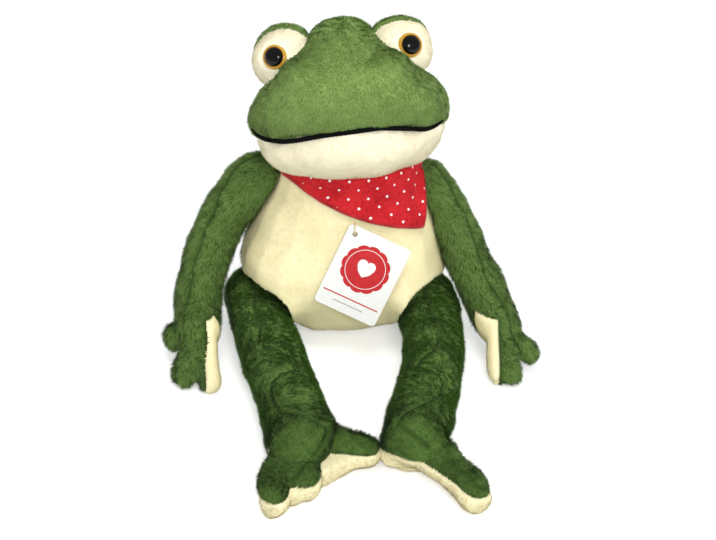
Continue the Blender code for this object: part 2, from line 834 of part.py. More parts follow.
def arm_point(side, out, forward, down):
    bow = ARM_BOW[side] * max(0, 4 * out * (1 - out))
    across = SIDES[side] * (out * ARM_OUT[side] + bow)
    step = Vector((across, -forward * ARM_FORWARD[side], -down * ARM_DROP[side]))
    return shoulder_place(side) + step


def arm_mesh(name, side, inset, segments, steps):
    rows = [
        (*arm_point(side, out, forward, down), girth * ARM_RADIUS)
        for out, forward, down, girth in ARM_SHARES
    ]
    rows = smooth_rows(set_in_limb(rows, inset), (3,), steps)
    return skin(name, limb_rings(rows, segments, Vector((0, 1, 0))))


def digit_mesh(name, root, tip, radius, root_radius):
    """A finger or toe, from inside its limb to a round tip."""
    along = tip - root
    step = along.normalized()
    rows = [
        (*(root - step * root_radius / 2), 0),
        (*root, root_radius),
        (*(root + along / 2), radius * DIGIT_WAIST_SHARE),
        (*(tip - step * radius), radius),
        (*(tip - step * radius / 3), radius * DIGIT_TIP_SHARE),
        (*tip, 0),
    ]
    rows = smooth_rows(rows, (3,), 1)
    return skin(name, limb_rings(rows, DIGIT_SEGMENTS, Vector((0, 0, 1))))


def shoulder_face(shop, side, stand_off, reach_share):
    """The inner side of the plane that the arm is sewn to."""
    axis = shoulder_axis(side)
    place = shoulder_place(side)
    place += axis * (torso_reach(side, axis) + stand_off - place.dot(axis))
    turn = axis.to_track_quat("Z", "Y").to_matrix().to_4x4()
    reach = ARM_RADIUS * reach_share
    return shop.box(f"{side}_shoulder_face", (-reach, -reach, -OVERRUN),
                    (reach, reach, 0), Matrix.Translation(place) @ turn)


def make_arm(shop, side, shoulder, torso_solid):
    sign = SIDES[side]
    hand = arm_point(side, 1, 1, 1)
    wrist = arm_point(side, *WRIST_SHARES)
    face = shoulder_face(shop, side, SHOULDER_SEAT[side], SHOULDER_FACE_SHARE)
    fingers = []
    for k, (out, forward) in enumerate(FINGER_SHARES[side]):
        lift = FINGER_RADIUS * FINGER_LIFT_SHARES[k] + FINGER_FLOOR_GAP
        tip = Vector((
            hand.x + sign * out * FINGER_REACH,
            hand.y - forward * FINGER_REACH,
            lift,
        ))
        name = f"{side}_finger_{k}"
        mesh = digit_mesh(name, wrist, tip, FINGER_RADIUS, FINGER_RADIUS * FINGER_ROOT_SHARE)
        fingers.append(shop.cutter(name, mesh))
    cavity = shop.cutter(f"{side}_arm_cavity", arm_mesh("arm_cavity", side, FABRIC,
                                                        CORE_SEGMENTS, CORE_STEPS))
    inner_edge = sign * (abs(hand.x) - PALM_INSET)
    palm_seams = {
        "sleeve": inner_edge + sign * SEAM / 2,
        "palm": inner_edge - sign * SEAM / 2,
    }
    regions = {}
    for name, edge in palm_seams.items():
        grow = SEAM / 2 if name == "sleeve" else -SEAM / 2
        low = (min(edge, 0), -OVERRUN, -OVERRUN)
        high = (max(edge, 0), hand.y + ARM_RADIUS + grow, PALM_TOP + grow)
        regions[name] = shop.box(f"{side}_{name}_region", low, high)
    pieces = {
        f"{side}_arm_sleeve": ("green_plush", GREEN, "DIFFERENCE", regions["sleeve"]),
        f"{side}_palm": ("cream_plush", CREAM, "INTERSECT", regions["palm"]),
    }
    for name, (finish, values, operation, region) in pieces.items():
        mesh = arm_mesh(name, side, 0, LIMB_SEGMENTS, LIMB_STEPS)
        piece = shop.part(name, mesh, shoulder, finish, values)
        for finger in fingers:
            cut(piece, finger, "UNION")
        cut(piece, cavity)
        cut(piece, face)
        cut(piece, torso_solid)
        cut(piece, region, operation)
    mesh = arm_mesh("arm_filling", side, FABRIC + FILLING_GAP, CORE_SEGMENTS, CORE_STEPS)
    filling = shop.part(f"{side}_arm_filling", mesh, shoulder, "stuffing", STUFFING)
    cut(filling, shoulder_face(shop, side, SHOULDER_SEAT[side] + FABRIC / 2, FILLING_FACE_SHARE))


# Legs

def leg_point(side, share, radius):
    sign = SIDES[side]
    bow = LEG_BOW[side] * max(0, 4 * share * (1 - share))
    x = HIP_X + (ANKLE_X[side] - HIP_X) * share + bow
    return Vector((sign * x, HIP_Y - share * LEG_FORWARD[side], radius - FLAT_CUT))


def leg_mesh(name, side, inset, segments, steps):
    rows = []
    for share, girth in LEG_SHARES:
        radius = girth * LEG_RADIUS
        height = LEG_RADIUS if share <= 0 else max(radius, LEG_SHARES[-3][1] * LEG_RADIUS)
        rows.append((*leg_point(side, share, height), radius))
    rows = smooth_rows(set_in_limb(rows, inset), (3,), steps)
    return skin(name, limb_rings(rows, segments, Vector((1, 0, 0))))


def hip_face(shop, side, stand_off):
    """What lies between the thighs, as far forward as the belly."""
    sign = SIDES[side]
    edge = sign * (HIP_FACE_X + stand_off)
    far = -sign * OVERRUN
    front = -TORSO_HALF_DEPTH - TORSO_LEAN - FABRIC
    return shop.box(f"{side}_hip_face", (min(edge, far), front, -OVERRUN),
                    (max(edge, far), OVERRUN, OVERRUN))


def web_mesh(name, root, tips):
    """The skin between two toes, a rounded paddle that widens towards their tips."""
    along = ((tips[0] + tips[1]) / 2 - root) * WEB_REACH_SHARE
    across = (tips[1] - tips[0]) / 2
    square = Vector((along.y, -along.x, 0)).normalized()
    reach = abs(across.dot(square))
    up = Vector((0, 0, WEB_HALF_HEIGHT))
    rings = [[root - along * WEB_START_SHARE]]
    for share, width, height in WEB_SHARES:
        centre = root + along * share
        centre.z = WEB_HALF_HEIGHT - FLAT_CUT
        rings.append(oval(centre, square * reach * width, up * height, DIGIT_SEGMENTS))
    end = root + along
    end.z = WEB_HALF_HEIGHT - FLAT_CUT
    rings.append([end])
    return skin(name, rings)


def make_leg(shop, side, hip, floor):
    sign = SIDES[side]
    face = hip_face(shop, side, HIP_CLEARANCE / 2)
    ankle = leg_point(side, 1, LEG_SHARES[-3][1] * LEG_RADIUS)
    root_radius = TOE_RADIUS * TOE_ROOT_SHARE
    toes = []
    tips = []
    for k, (out, forward) in enumerate(TOE_SHARES[side]):
        tip = Vector((
            ankle.x + sign * out * TOE_REACH,
            ankle.y - forward * TOE_REACH,
            TOE_RADIUS - FLAT_CUT,
        ))
        name = f"{side}_toe_{k}"
        root = Vector((ankle.x, ankle.y, root_radius - FLAT_CUT))
        toes.append(shop.cutter(name, digit_mesh(name, root, tip, TOE_RADIUS, root_radius)))
        tips.append(tip)
    for k, pair in enumerate(zip(tips, tips[1:])):
        name = f"{side}_web_{k}"
        toes.append(shop.cutter(name, web_mesh(name, root, pair)))
    cavity = shop.cutter(f"{side}_leg_cavity", leg_mesh("leg_cavity", side, FABRIC,
                                                        CORE_SEGMENTS, CORE_STEPS))
    front = ankle.y - SOLE_BACK
    regions = {}
    for name, grow in (("sleeve", SEAM / 2), ("sole", -SEAM / 2)):
        regions[name] = shop.box(f"{side}_{name}_sole_region", (-OVERRUN, -OVERRUN, -OVERRUN),
                                 (OVERRUN, front + grow, SOLE_HEIGHT + grow))
    pieces = {
        f"{side}_leg_sleeve": ("green_plush", GREEN, "DIFFERENCE", regions["sleeve"]),
        f"{side}_sole": ("cream_plush", CREAM, "INTERSECT", regions["sole"]),
    }
    for name, (finish, values, operation, region) in pieces.items():
        mesh = leg_mesh(name, side, 0, LIMB_SEGMENTS, LIMB_STEPS)
        piece = shop.part(name, mesh, hip, finish, values)
        for toe in toes:
            cut(piece, toe, "UNION")
        cut(piece, cavity)
        cut(piece, face)
        cut(piece, floor)
        cut(piece, region, operation)
    mesh = leg_mesh("leg_filling", side, FABRIC + FILLING_GAP, CORE_SEGMENTS, CORE_STEPS)
    filling = shop.part(f"{side}_leg_filling", mesh, hip, "stuffing", STUFFING)
    cut(filling, face)


# Neckerchief

def chest_point(angle, height, stand_off):
    """A point off the torso's surface. Angle nought is straight ahead, plus is its right."""
    width, centre, depth = torso_section(height)
    x = sway(height) - (width + stand_off) * math.sin(angle)
    y = centre - (depth + stand_off) * math.cos(angle)
    return Vector((x, y, height))


def cloth_drop(angle):
    """How far the cloth hangs below its top edge, deepest at the apex."""
    turn = angle - CLOTH_APEX_ANGLE
    away = turn / CLOTH_SPREAD if turn > 0 else -turn / CLOTH_BACK_SPREAD
    return CLOTH_BAND + (CLOTH_DROP - CLOTH_BAND) * max(0, 1 - away) ** CLOTH_CURVE


def neckerchief_mesh():
    """A closed band of cloth round the neck with its triangle in front."""
    bm = bmesh.new()
    walls = []
    for layer in (0, 1):
        columns = []
        for k in range(CLOTH_AROUND):
            angle = 2 * math.pi * k / CLOTH_AROUND - math.pi
            drop = cloth_drop(angle)
            column = []
            for j in range(CLOTH_DOWN + 1):
                share = j / CLOTH_DOWN
                height = CLOTH_TOP - drop * share
                deep = (drop - CLOTH_BAND) / (CLOTH_DROP - CLOTH_BAND)
                fold = CLOTH_FOLD * (1 + math.sin(CLOTH_FOLDS * angle + 3 * share)) * deep
                stand_off = CLOTH_CLEARANCE + fold + layer * CLOTH
                column.append(bm.verts.new(chest_point(angle, height, stand_off)))
            columns.append(column)
        walls.append(columns)
    inner, outer = walls
    for k in range(CLOTH_AROUND):
        after = (k + 1) % CLOTH_AROUND
        for j in range(CLOTH_DOWN):
            bm.faces.new((outer[k][j], outer[k][j + 1], outer[after][j + 1], outer[after][j]))
            bm.faces.new((inner[k][j + 1], inner[k][j], inner[after][j], inner[after][j + 1]))
        bm.faces.new((inner[k][0], outer[k][0], outer[after][0], inner[after][0]))
        bm.faces.new((outer[k][-1], inner[k][-1], inner[after][-1], outer[after][-1]))
    bmesh.ops.recalc_face_normals(bm, faces=bm.faces)
    mesh = bpy.data.meshes.new("neckerchief")
    bm.to_mesh(mesh)
    bm.free()
    return mesh


def make_neckerchief(shop, pivot_torso):
    shop.part("neckerchief", neckerchief_mesh(), pivot_torso, "red_cloth", RED)
    middle = CLOTH_TOP - CLOTH_BAND / 2
    centre = chest_point(math.pi, middle, CLOTH_CLEARANCE + CLOTH + GAP)
    bm = bmesh.new()
    bmesh.ops.create_uvsphere(bm, u_segments=KNOT_SEGMENTS, v_segments=KNOT_RINGS, radius=1)
    size = (KNOT_HALF_WIDTH, KNOT_HALF_DEPTH, KNOT_HALF_HEIGHT)
    bmesh.ops.scale(bm, vec=size, verts=bm.verts)
    bmesh.ops.translate(bm, vec=centre + Vector((0, KNOT_HALF_DEPTH / 2, 0)), verts=bm.verts)
    mesh = bpy.data.meshes.new("neckerchief_knot")
    bm.to_mesh(mesh)
    bm.free()
    knot = shop.part("neckerchief_knot", mesh, pivot_torso, "red_cloth", RED)
    for sign in (-1, 1):
        start = centre + Vector((0, KNOT_HALF_DEPTH / 2, 0))
        end = start + Vector((sign * KNOT_TAIL_LENGTH, KNOT_HALF_DEPTH, -KNOT_TAIL_LENGTH / 2))
        name = f"knot_tail_{sign}"
        rows = [
            (*start, 0),
            (*start.lerp(end, KNOT_TAIL_SHARES[0]), KNOT_HALF_DEPTH / 2),
            (*start.lerp(end, KNOT_TAIL_SHARES[1]), KNOT_TAIL_WIDTH / 2),
            (*end, 0),
        ]
        rings = limb_rings(smooth_rows(rows, (3,), 2), DIGIT_SEGMENTS, Vector((0, 0, 1)))
        tail = shop.cutter(name, flattened(skin(name, rings), start, CLOTH))
        cut(knot, tail, "UNION")
    bed = shop.cutter("knot_bed", knot_bed_mesh())
    cut(knot, bed)


def flattened(mesh, start, thickness):
    """A tail of cloth pressed thin, front to back."""
    squeeze = thickness / KNOT_TAIL_WIDTH
    for vertex in mesh.vertices:
        lean = (abs(vertex.co.x - start.x)) / KNOT_TAIL_LENGTH * KNOT_HALF_DEPTH
        middle = start.y + lean
        vertex.co.y = middle + (vertex.co.y - middle) * squeeze
    return mesh


def knot_bed_mesh():
    """The outside of the band that the knot lies on, with its clearance."""
    stand_off = CLOTH_CLEARANCE + CLOTH + GAP
    rings = []
    for share in KNOT_BED_SHARES:
        height = NECK_HEIGHT * share
        width, centre, depth = torso_section(height)
        rings.append(oval(Vector((sway(height), centre, height)),
                          Vector((width + stand_off, 0, 0)), Vector((0, depth + stand_off, 0)),
                          CLOTH_AROUND))
    width, centre, depth = torso_section(CLOTH_TOP)
    rings.append(oval(Vector((sway(CLOTH_TOP), centre, CLOTH_TOP + KNOT_HALF_HEIGHT)),
                      Vector((width + stand_off, 0, 0)), Vector((0, depth + stand_off, 0)),
                      CLOTH_AROUND))
    low = [Vector((0, 0, -OVERRUN))]
    high = [Vector((0, 0, OVERRUN))]
    return skin("knot_bed", [low, *rings, high])


# Hang tag

def tag_frame():
    """From the tag's own axes, with the hole at nought, Y up and Z forward, to the world's."""
    width, centre, depth = torso_section(TAG_HOLE_Z)
    across = TAG_HOLE_X - sway(TAG_HOLE_Z)
    y = centre - depth * math.sqrt(1 - (across / width) ** 2) - TAG_STANDOFF
    stand = Matrix(((1, 0, 0, 0), (0, 0, -1, 0), (0, 1, 0, 0), (0, 0, 0, 1)))
    lean = Matrix.Rotation(-TAG_LEAN, 4, "X")
    return Matrix.Translation((TAG_HOLE_X, y, TAG_HOLE_Z)) @ lean @ stand


def rounded_card():
    """The card's outline round the hole, which is near its upper left corner."""
    left = -TAG_HOLE_EDGE
    top = TAG_HOLE_EDGE
    corners = [
        (left + TAG_WIDTH, top, 0),
        (left, top, 1),
        (left, top - TAG_HEIGHT, 2),
        (left + TAG_WIDTH, top - TAG_HEIGHT, 3),
    ]
    turn = Matrix.Rotation(-TAG_TURN, 2)
    outline = []
    for x, y, quarter in corners:
        inward = Vector((-1 if quarter in (0, 3) else 1, -1 if quarter in (0, 1) else 1))
        centre = Vector((x, y)) + inward * TAG_CORNER
        for k in range(TAG_CORNER_POINTS + 1):
            angle = math.pi / 2 * (quarter + k / TAG_CORNER_POINTS)
            point = centre + Vector((math.cos(angle), math.sin(angle))) * TAG_CORNER
            outline.append(tuple(turn @ point))
    return outline


def make_tag(shop, tag_pivot):
    hole = []
    for k in range(TAG_HOLE_POINTS):
        angle = 2 * math.pi * k / TAG_HOLE_POINTS
        hole.append((TAG_HOLE_RADIUS * math.cos(angle), TAG_HOLE_RADIUS * math.sin(angle)))
    frame = tag_frame()
    mesh, frame = shop.slab("tag_card", [rounded_card(), hole], TAG_THICKNESS / 2, frame)
    shop.part("tag_card", mesh, tag_pivot, "white_card", WHITE, frame)

    curve = bpy.data.curves.new("tag_thread", "CURVE")
    curve.dimensions = "3D"
    curve.bevel_depth = THREAD_RADIUS
    curve.bevel_resolution = 1
    spline = curve.splines.new("POLY")
    spline.points.add(THREAD_POINTS - 1)
    spline.use_cyclic_u = True
    for k, point in enumerate(spline.points):
        angle = 2 * math.pi * k / THREAD_POINTS
        up = THREAD_LOOP * (1 - math.cos(angle))
        point.co = (0, up, THREAD_HALF_DEPTH * math.sin(angle), 1)
    mesh = welded_mesh("tag_thread", curve)
    shop.part("tag_thread", mesh, tag_pivot, "gold_thread", GOLD, frame)


def build():
    clear_scene()
    shop = Workshop()
    floor = shop.box("floor", (-OVERRUN, -OVERRUN, -OVERRUN), (OVERRUN, OVERRUN, 0))
    above_neck = shop.box("above_neck", (-OVERRUN, -OVERRUN, NECK_HEIGHT - GAP / 2),
                          (OVERRUN, OVERRUN, OVERRUN))
    below_neck = shop.box("below_neck", (-OVERRUN, -OVERRUN, -OVERRUN),
                          (OVERRUN, OVERRUN, NECK_HEIGHT + GAP / 2))

    seat = pivot("torso_origin", (0, 0, 0))
    neck_y = TORSO_SHARES[-1][2] * TORSO_HALF_DEPTH + TORSO_LEAN
    neck = pivot("neck_pivot", (sway(NECK_HEIGHT), neck_y, NECK_HEIGHT))
    neck.parent = seat

    make_torso(shop, seat, floor, above_neck)
    head_pieces = make_head(shop, neck, below_neck)
    head_solid = shop.cutter("head_solid", head_mesh("head_solid", -GAP), head_frame())
    torso_solid = shop.cutter("torso_solid", torso_mesh("torso_solid", -GAP))
    for side, sign in SIDES.items():
        make_eye(shop, neck, side, head_pieces, head_solid)
        shoulder = pivot(f"{side}_shoulder_pivot", shoulder_place(side))
        shoulder.parent = seat
        make_arm(shop, side, shoulder, torso_solid)
        hip = pivot(f"{side}_hip_pivot", (sign * HIP_X, HIP_Y, LEG_RADIUS - FLAT_CUT))
        hip.parent = seat
        make_leg(shop, side, hip, floor)
    make_neckerchief(shop, seat)
    tag_pivot = pivot("tag_pivot", tag_frame() @ Vector((0, 2 * THREAD_LOOP, 0)))
    tag_pivot.parent = seat
    make_tag(shop, tag_pivot)


build()
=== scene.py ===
"""Looks of a seated plush frog: piled fabric, glossy eyes, spotted neckerchief and hang tag.

Metres, in the frame of the solid model: +Z up, the frog faces -Y, its own left is +X. Each
soft body gets one skin round its solids, split along the seams, and its own cut pile.
"""
import json
import math

import bmesh
import bpy
import numpy as np
from mathutils import Matrix, Vector
from mathutils.bvhtree import BVHTree

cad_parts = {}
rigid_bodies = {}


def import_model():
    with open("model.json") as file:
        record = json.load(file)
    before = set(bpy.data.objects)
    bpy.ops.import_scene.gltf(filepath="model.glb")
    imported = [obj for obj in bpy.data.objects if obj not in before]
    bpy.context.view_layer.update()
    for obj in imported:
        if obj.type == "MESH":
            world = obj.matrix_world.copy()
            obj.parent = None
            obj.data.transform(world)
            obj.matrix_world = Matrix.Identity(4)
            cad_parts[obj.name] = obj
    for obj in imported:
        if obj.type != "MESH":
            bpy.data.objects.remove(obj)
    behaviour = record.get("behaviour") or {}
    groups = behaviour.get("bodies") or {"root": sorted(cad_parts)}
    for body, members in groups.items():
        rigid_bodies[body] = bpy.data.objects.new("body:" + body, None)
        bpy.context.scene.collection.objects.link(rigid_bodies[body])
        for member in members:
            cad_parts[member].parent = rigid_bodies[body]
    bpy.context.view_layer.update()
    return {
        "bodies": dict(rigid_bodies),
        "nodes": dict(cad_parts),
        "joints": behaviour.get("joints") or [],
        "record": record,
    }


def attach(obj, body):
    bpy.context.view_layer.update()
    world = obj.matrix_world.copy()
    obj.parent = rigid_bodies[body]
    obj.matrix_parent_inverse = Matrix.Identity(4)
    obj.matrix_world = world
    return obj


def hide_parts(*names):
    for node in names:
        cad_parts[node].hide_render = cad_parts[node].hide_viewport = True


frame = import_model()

SIDES = {"left": 1, "right": -1}
SEED = 7

# Camera
VIEW_TARGET = Vector((0.0135, 0, 0.0312))
VIEW_DISTANCE = 1.5
VIEW_HEIGHT = math.radians(30)
VIEW_LENS_MM = 104.8

# Skins
VOXEL = 0.0018
SKIN_INSET = 0.0005
SMOOTHING = 14
SEAM_WIDTH = 0.0016
SEAM_DEPTH = 0.0014
LUMP_SIZE = 0.028
LUMP_DEPTH = 0.0008
SEAT_HEIGHT = 0.002
FLOOR_ROOM = 0.0006
WELD = 1e-5

# Pile: length, width at the root, lean from upright, strands to the square metre
LONG_PILE = (0.0042, 0.00046, math.radians(56), 2.6e6)
HEAD_PILE = (0.0028, 0.00037, math.radians(61), 2.8e6)
CREAM_PILE = (0.0014, 0.00040, math.radians(66), 2.6e6)
MOST_STRANDS = 100000
CLUMP_SIZE = 0.006
TIP_FLOOR = 0.0004
# how far from a seam the pile is short, and how far it is in shadow
SHORT_BESIDE_SEAM = 0.0045
DARK_BESIDE_SEAM = {"green": 0.0028, "cream": 0.0015}
# how far from a piece that presses the pile the green pile is darkened: painted shade
PAINTED_SHADE_BESIDE_PIECE = 0.019

# Colours, linear
LIMB_GREENS = ((0.036, 0.072, 0.016), (0.126, 0.222, 0.052), (0.240, 0.375, 0.110))
# the legs' greens: the limb greens made lighter, painted light for the legs' weaker light
LIGHTENED_LEG_GREENS = ((0.056, 0.115, 0.024), (0.190, 0.345, 0.076), (0.330, 0.520, 0.150))
HEAD_GREENS = ((0.150, 0.250, 0.056), (0.330, 0.500, 0.140), (0.460, 0.630, 0.240))
CREAMS = ((0.930, 0.840, 0.470), (0.965, 0.880, 0.555), (0.980, 0.905, 0.620))
PALE_CREAMS = ((0.945, 0.870, 0.610), (0.970, 0.905, 0.680), (0.980, 0.920, 0.735))
REDS = ((0.300, 0.006, 0.012), (0.560, 0.018, 0.026), (0.680, 0.034, 0.040))
DOT_WHITE = (0.90, 0.87, 0.86)
AMBERS = ((0.045, 0.018, 0.003), (0.480, 0.230, 0.022), (0.600, 0.350, 0.055))
PUPIL_BLACKS = ((0.0015, 0.0012, 0.0010), (0.0040, 0.0032, 0.0028))
YARN_BLACKS = ((0.0015, 0.0015, 0.0015), (0.006, 0.006, 0.006))
CARD_WHITES = ((0.84, 0.84, 0.82), (0.90, 0.90, 0.88))
CARD_INKS = ((0.50, 0.008, 0.014), (0.60, 0.014, 0.020))
CARD_GREY = (0.32, 0.32, 0.32)
GOLDS = ((0.62, 0.52, 0.30), (0.86, 0.78, 0.56))
FLOOR_GREYS = ((0.86, 0.86, 0.86), (0.88, 0.88, 0.88))

# Where the forms move from the solids, as seen from the camera in a view 716 wide: body ->
# (across, down, reach, move right, move down, move nearer), all in steps of one part of it
VIEW_STEP = 0.001 / 1.39
VIEW_ORIGIN = (339, 308)
MOVES = {
    "torso": [(280, 284, 22, -2, 10, 14), (416, 288, 22, 3, 9, 14), (262, 262, 14, -4, 2, 4),
              (298, 316, 9, -6, 0, 3), (402, 313, 9, 5, 0, 3), (355, 326, 30, 0, -2, 0),
              (300, 328, 7, 4, -3, 0), (287, 305, 10, -3, 11, 6), (405, 302, 10, 3, 11, 6)],
    "head": [(442, 105, 30, 2, 0, 0), (328, 20, 14, 0, -2, 0), (410, 20, 12, 0, 3, 0),
             (292, 66, 13, -6, -4, 3), (398, 62, 13, 5, -6, 3), (258, 135, 10, 3, -1, 0),
             (268, 137, 8, 0, 4, 2), (432, 126, 8, 0, 4, 2)],
    "right_arm": [(222, 184, 30, -2, -2, 0), (246, 158, 16, -4, -6, 0), (272, 182, 14, 8, 2, 2),
                  (221, 345, 16, 4, 0, 0), (198, 388, 12, 0, 4, 0),
                  (168, 336, 10, 0, -7, 0)],
    "left_arm": [(488, 232, 40, -4, 1, 0), (438, 160, 10, 2, -4, 0)],
    "right_leg": [(268, 282, 24, 0, 6, -6), (300, 312, 14, 0, 4, -3),
                  (262, 458, 16, -10, 0, 0), (256, 498, 12, 4, 0, 0), (320, 378, 24, 3, 0, 0),
                  (250, 400, 22, 2, 0, 0), (342, 480, 12, 0, -4, 0), (262, 515, 14, 2, -4, 0),
                  (374, 448, 12, 4, 2, 0), (338, 424, 12, 2, -5, 0)],
    "left_leg": [(432, 282, 24, 0, 6, -6), (402, 308, 14, 0, 4, -3),
                 (474, 462, 18, 5, -2, 0), (394, 342, 18, 4, 0, 0),
                 (450, 502, 18, 0, -6, 0), (384, 452, 12, -4, 2, 0), (452, 438, 12, 3, -3, 0)],
}


# Materials

class Shader:
    """A node material with its Principled shader and short ways to add nodes."""

    def __init__(self, name):
        self.material = bpy.data.materials.new(name)
        self.material.use_nodes = True
        self.tree = self.material.node_tree
        self.surface = self.tree.nodes["Principled BSDF"]

    def node(self, kind, **values):
        made = self.tree.nodes.new(kind)
        for key, value in values.items():
            setattr(made, key, value)
        return made

    def link(self, output, entry):
        self.tree.links.new(output, entry)

    def set(self, **values):
        for key, value in values.items():
            self.surface.inputs[key.replace("_", " ")].default_value = value
        return self

    def coordinates(self, kind="Object"):
        return self.node("ShaderNodeTexCoord").outputs[kind]

    def noise(self, vector, scale, detail=3.0, rough=0.5):
        made = self.node("ShaderNodeTexNoise")
        made.inputs["Scale"].default_value = scale
        made.inputs["Detail"].default_value = detail
        made.inputs["Roughness"].default_value = rough
        self.link(vector, made.inputs["Vector"])
        return made.outputs["Fac"]

    def attribute(self, name):
        return self.node("ShaderNodeAttribute", attribute_name=name).outputs["Fac"]

    def math(self, operation, a, b, clamp=False):
        made = self.node("ShaderNodeMath", operation=operation, use_clamp=clamp)
        for entry, value in zip(made.inputs, (a, b)):
            if isinstance(value, (int, float)):
                entry.default_value = value
            else:
                self.link(value, entry)
        return made.outputs[0]

    def add(self, a, b):
        return self.math("ADD", a, b)

    def minus(self, a, b, clamp=False):
        return self.math("SUBTRACT", a, b, clamp)

    def times(self, a, b, clamp=False):
        return self.math("MULTIPLY", a, b, clamp)

    def size_of(self, a):
        return self.math("ABSOLUTE", a, 0)

    def two_tones(self, factor, tones, start=0.3, end=0.7):
        return self.ramp(factor, [(start, tones[0]), (end, tones[1])])

    def ramp(self, factor, stops):
        made = self.node("ShaderNodeValToRGB")
        elements = made.color_ramp.elements
        while len(elements) < len(stops):
            elements.new(0.5)
        for element, (place, colour) in zip(elements, stops):
            element.position = place
            element.color = (*colour, 1)
        self.link(factor, made.inputs["Fac"])
        return made.outputs["Color"]

    def mix(self, factor, a, b, blend="MIX"):
        made = self.node("ShaderNodeMix", data_type="RGBA", blend_type=blend)
        for name, value in (("Factor", factor), ("A", a), ("B", b)):
            entry = next(i for i in made.inputs
                         if i.name == name and i.type == ("VALUE" if name == "Factor" else "RGBA"))
            if isinstance(value, (int, float)):
                entry.default_value = value
            elif isinstance(value, tuple):
                entry.default_value = (*value, 1)
            else:
                self.link(value, entry)
        return next(o for o in made.outputs if o.type == "RGBA")

    def bump(self, height, strength, distance):
        made = self.node("ShaderNodeBump")
        made.inputs["Strength"].default_value = strength
        made.inputs["Distance"].default_value = distance
        self.link(height, made.inputs["Height"])
        self.link(made.outputs["Normal"], self.surface.inputs["Normal"])
        return self

    def colour(self, output):
        self.link(output, self.surface.inputs["Base Color"])
        return self


def plush(name, colours, patch):
    """Pile coloured from its dark root to its light tip, with soft patches of tone. The darkening
    towards the root is painted shade of the pile's depth, and the shade attribute mixes in more
    painted shade.
    """
    shader = Shader(name).set(Roughness=0.95, Sheen_Weight=0.06, Sheen_Roughness=0.5)
    shader.set(Specular_IOR_Level=0.06)
    where = shader.coordinates()
    height = shader.times(shader.attribute("tip"), 0.62)
    tone = shader.add(height, shader.times(shader.attribute("tone"), 0.40))
    drift = shader.times(shader.noise(where, patch, 2.0), 0.30)
    tone = shader.minus(shader.add(tone, drift), 0.16, clamp=True)
    low, middle, high = colours
    base = shader.ramp(tone, [(0.0, low), (0.45, middle), (1.0, high)])
    shade = shader.attribute("shade")
    # painted shade: where the shade attribute is below 1 the colour goes towards this darker copy
    # of the root colour
    dark = tuple(value * 0.35 for value in low)
    shader.colour(shader.mix(shade, dark, base))
    return shader.material


# Skins

def new_object(name, mesh):
    made = bpy.data.objects.new(name, mesh)
    bpy.context.scene.collection.objects.link(made)
    return made


def mesh_of(name, points, faces):
    mesh = bpy.data.meshes.new(name)
    mesh.from_pydata(np.reshape(points, (-1, 3)).tolist(), [], faces)
    return mesh


def grid_faces(columns, rows, round_columns=True, round_rows=False):
    """Faces over columns of points, which close round or not, each way."""
    faces = []
    for k in range(columns if round_columns else columns - 1):
        after = (k + 1) % columns
        for j in range(rows if round_rows else rows - 1):
            beside = (j + 1) % rows
            faces.append((k * rows + j, k * rows + beside, after * rows + beside,
                          after * rows + j))
    return faces


def thicken(piece):
    thick = piece.modifiers.new("thickness", "SOLIDIFY")
    thick.thickness = CLOTH_THICKNESS
    thick.offset = -1


def solid_tree(*names):
    """The faces of the named nodes, for finding the nearest or what a ray meets."""
    bm = bmesh.new()
    for name in names:
        bm.from_mesh(bpy.data.objects[name].data)
    tree = BVHTree.FromBMesh(bm)
    bm.free()
    return tree


def joined_mesh(names):
    """The solids of the named nodes in one mesh, with their edges welded."""
    bm = bmesh.new()
    for name in names:
        bm.from_mesh(bpy.data.objects[name].data)
    bmesh.ops.remove_doubles(bm, verts=bm.verts, dist=WELD)
    mesh = bpy.data.meshes.new("joined")
    bm.to_mesh(mesh)
    bm.free()
    return mesh


def outer_island(mesh):
    """Deletes all but the island that holds the topmost point."""
    bm = bmesh.new()
    bm.from_mesh(mesh)
    top = max(bm.verts, key=lambda v: v.co.z)
    kept = {top}
    front = [top]
    while front:
        vertex = front.pop()
        for edge in vertex.link_edges:
            other = edge.other_vert(vertex)
            if other not in kept:
                kept.add(other)
                front.append(other)
    bmesh.ops.delete(bm, geom=[v for v in bm.verts if v not in kept], context="VERTS")
    bm.to_mesh(mesh)
    bm.free()


def smoothed(points, edges, rounds):
    """Evens the points out without shrinking the form."""
    count = np.zeros(len(points))
    np.add.at(count, edges.ravel(), 1)
    for turn in range(rounds * 2):
        total = np.zeros_like(points)
        np.add.at(total, edges[:, 0], points[edges[:, 1]])
        np.add.at(total, edges[:, 1], points[edges[:, 0]])
        share = 0.55 if turn % 2 == 0 else -0.57
        points = points + share * (total / count[:, None] - points)
    return points


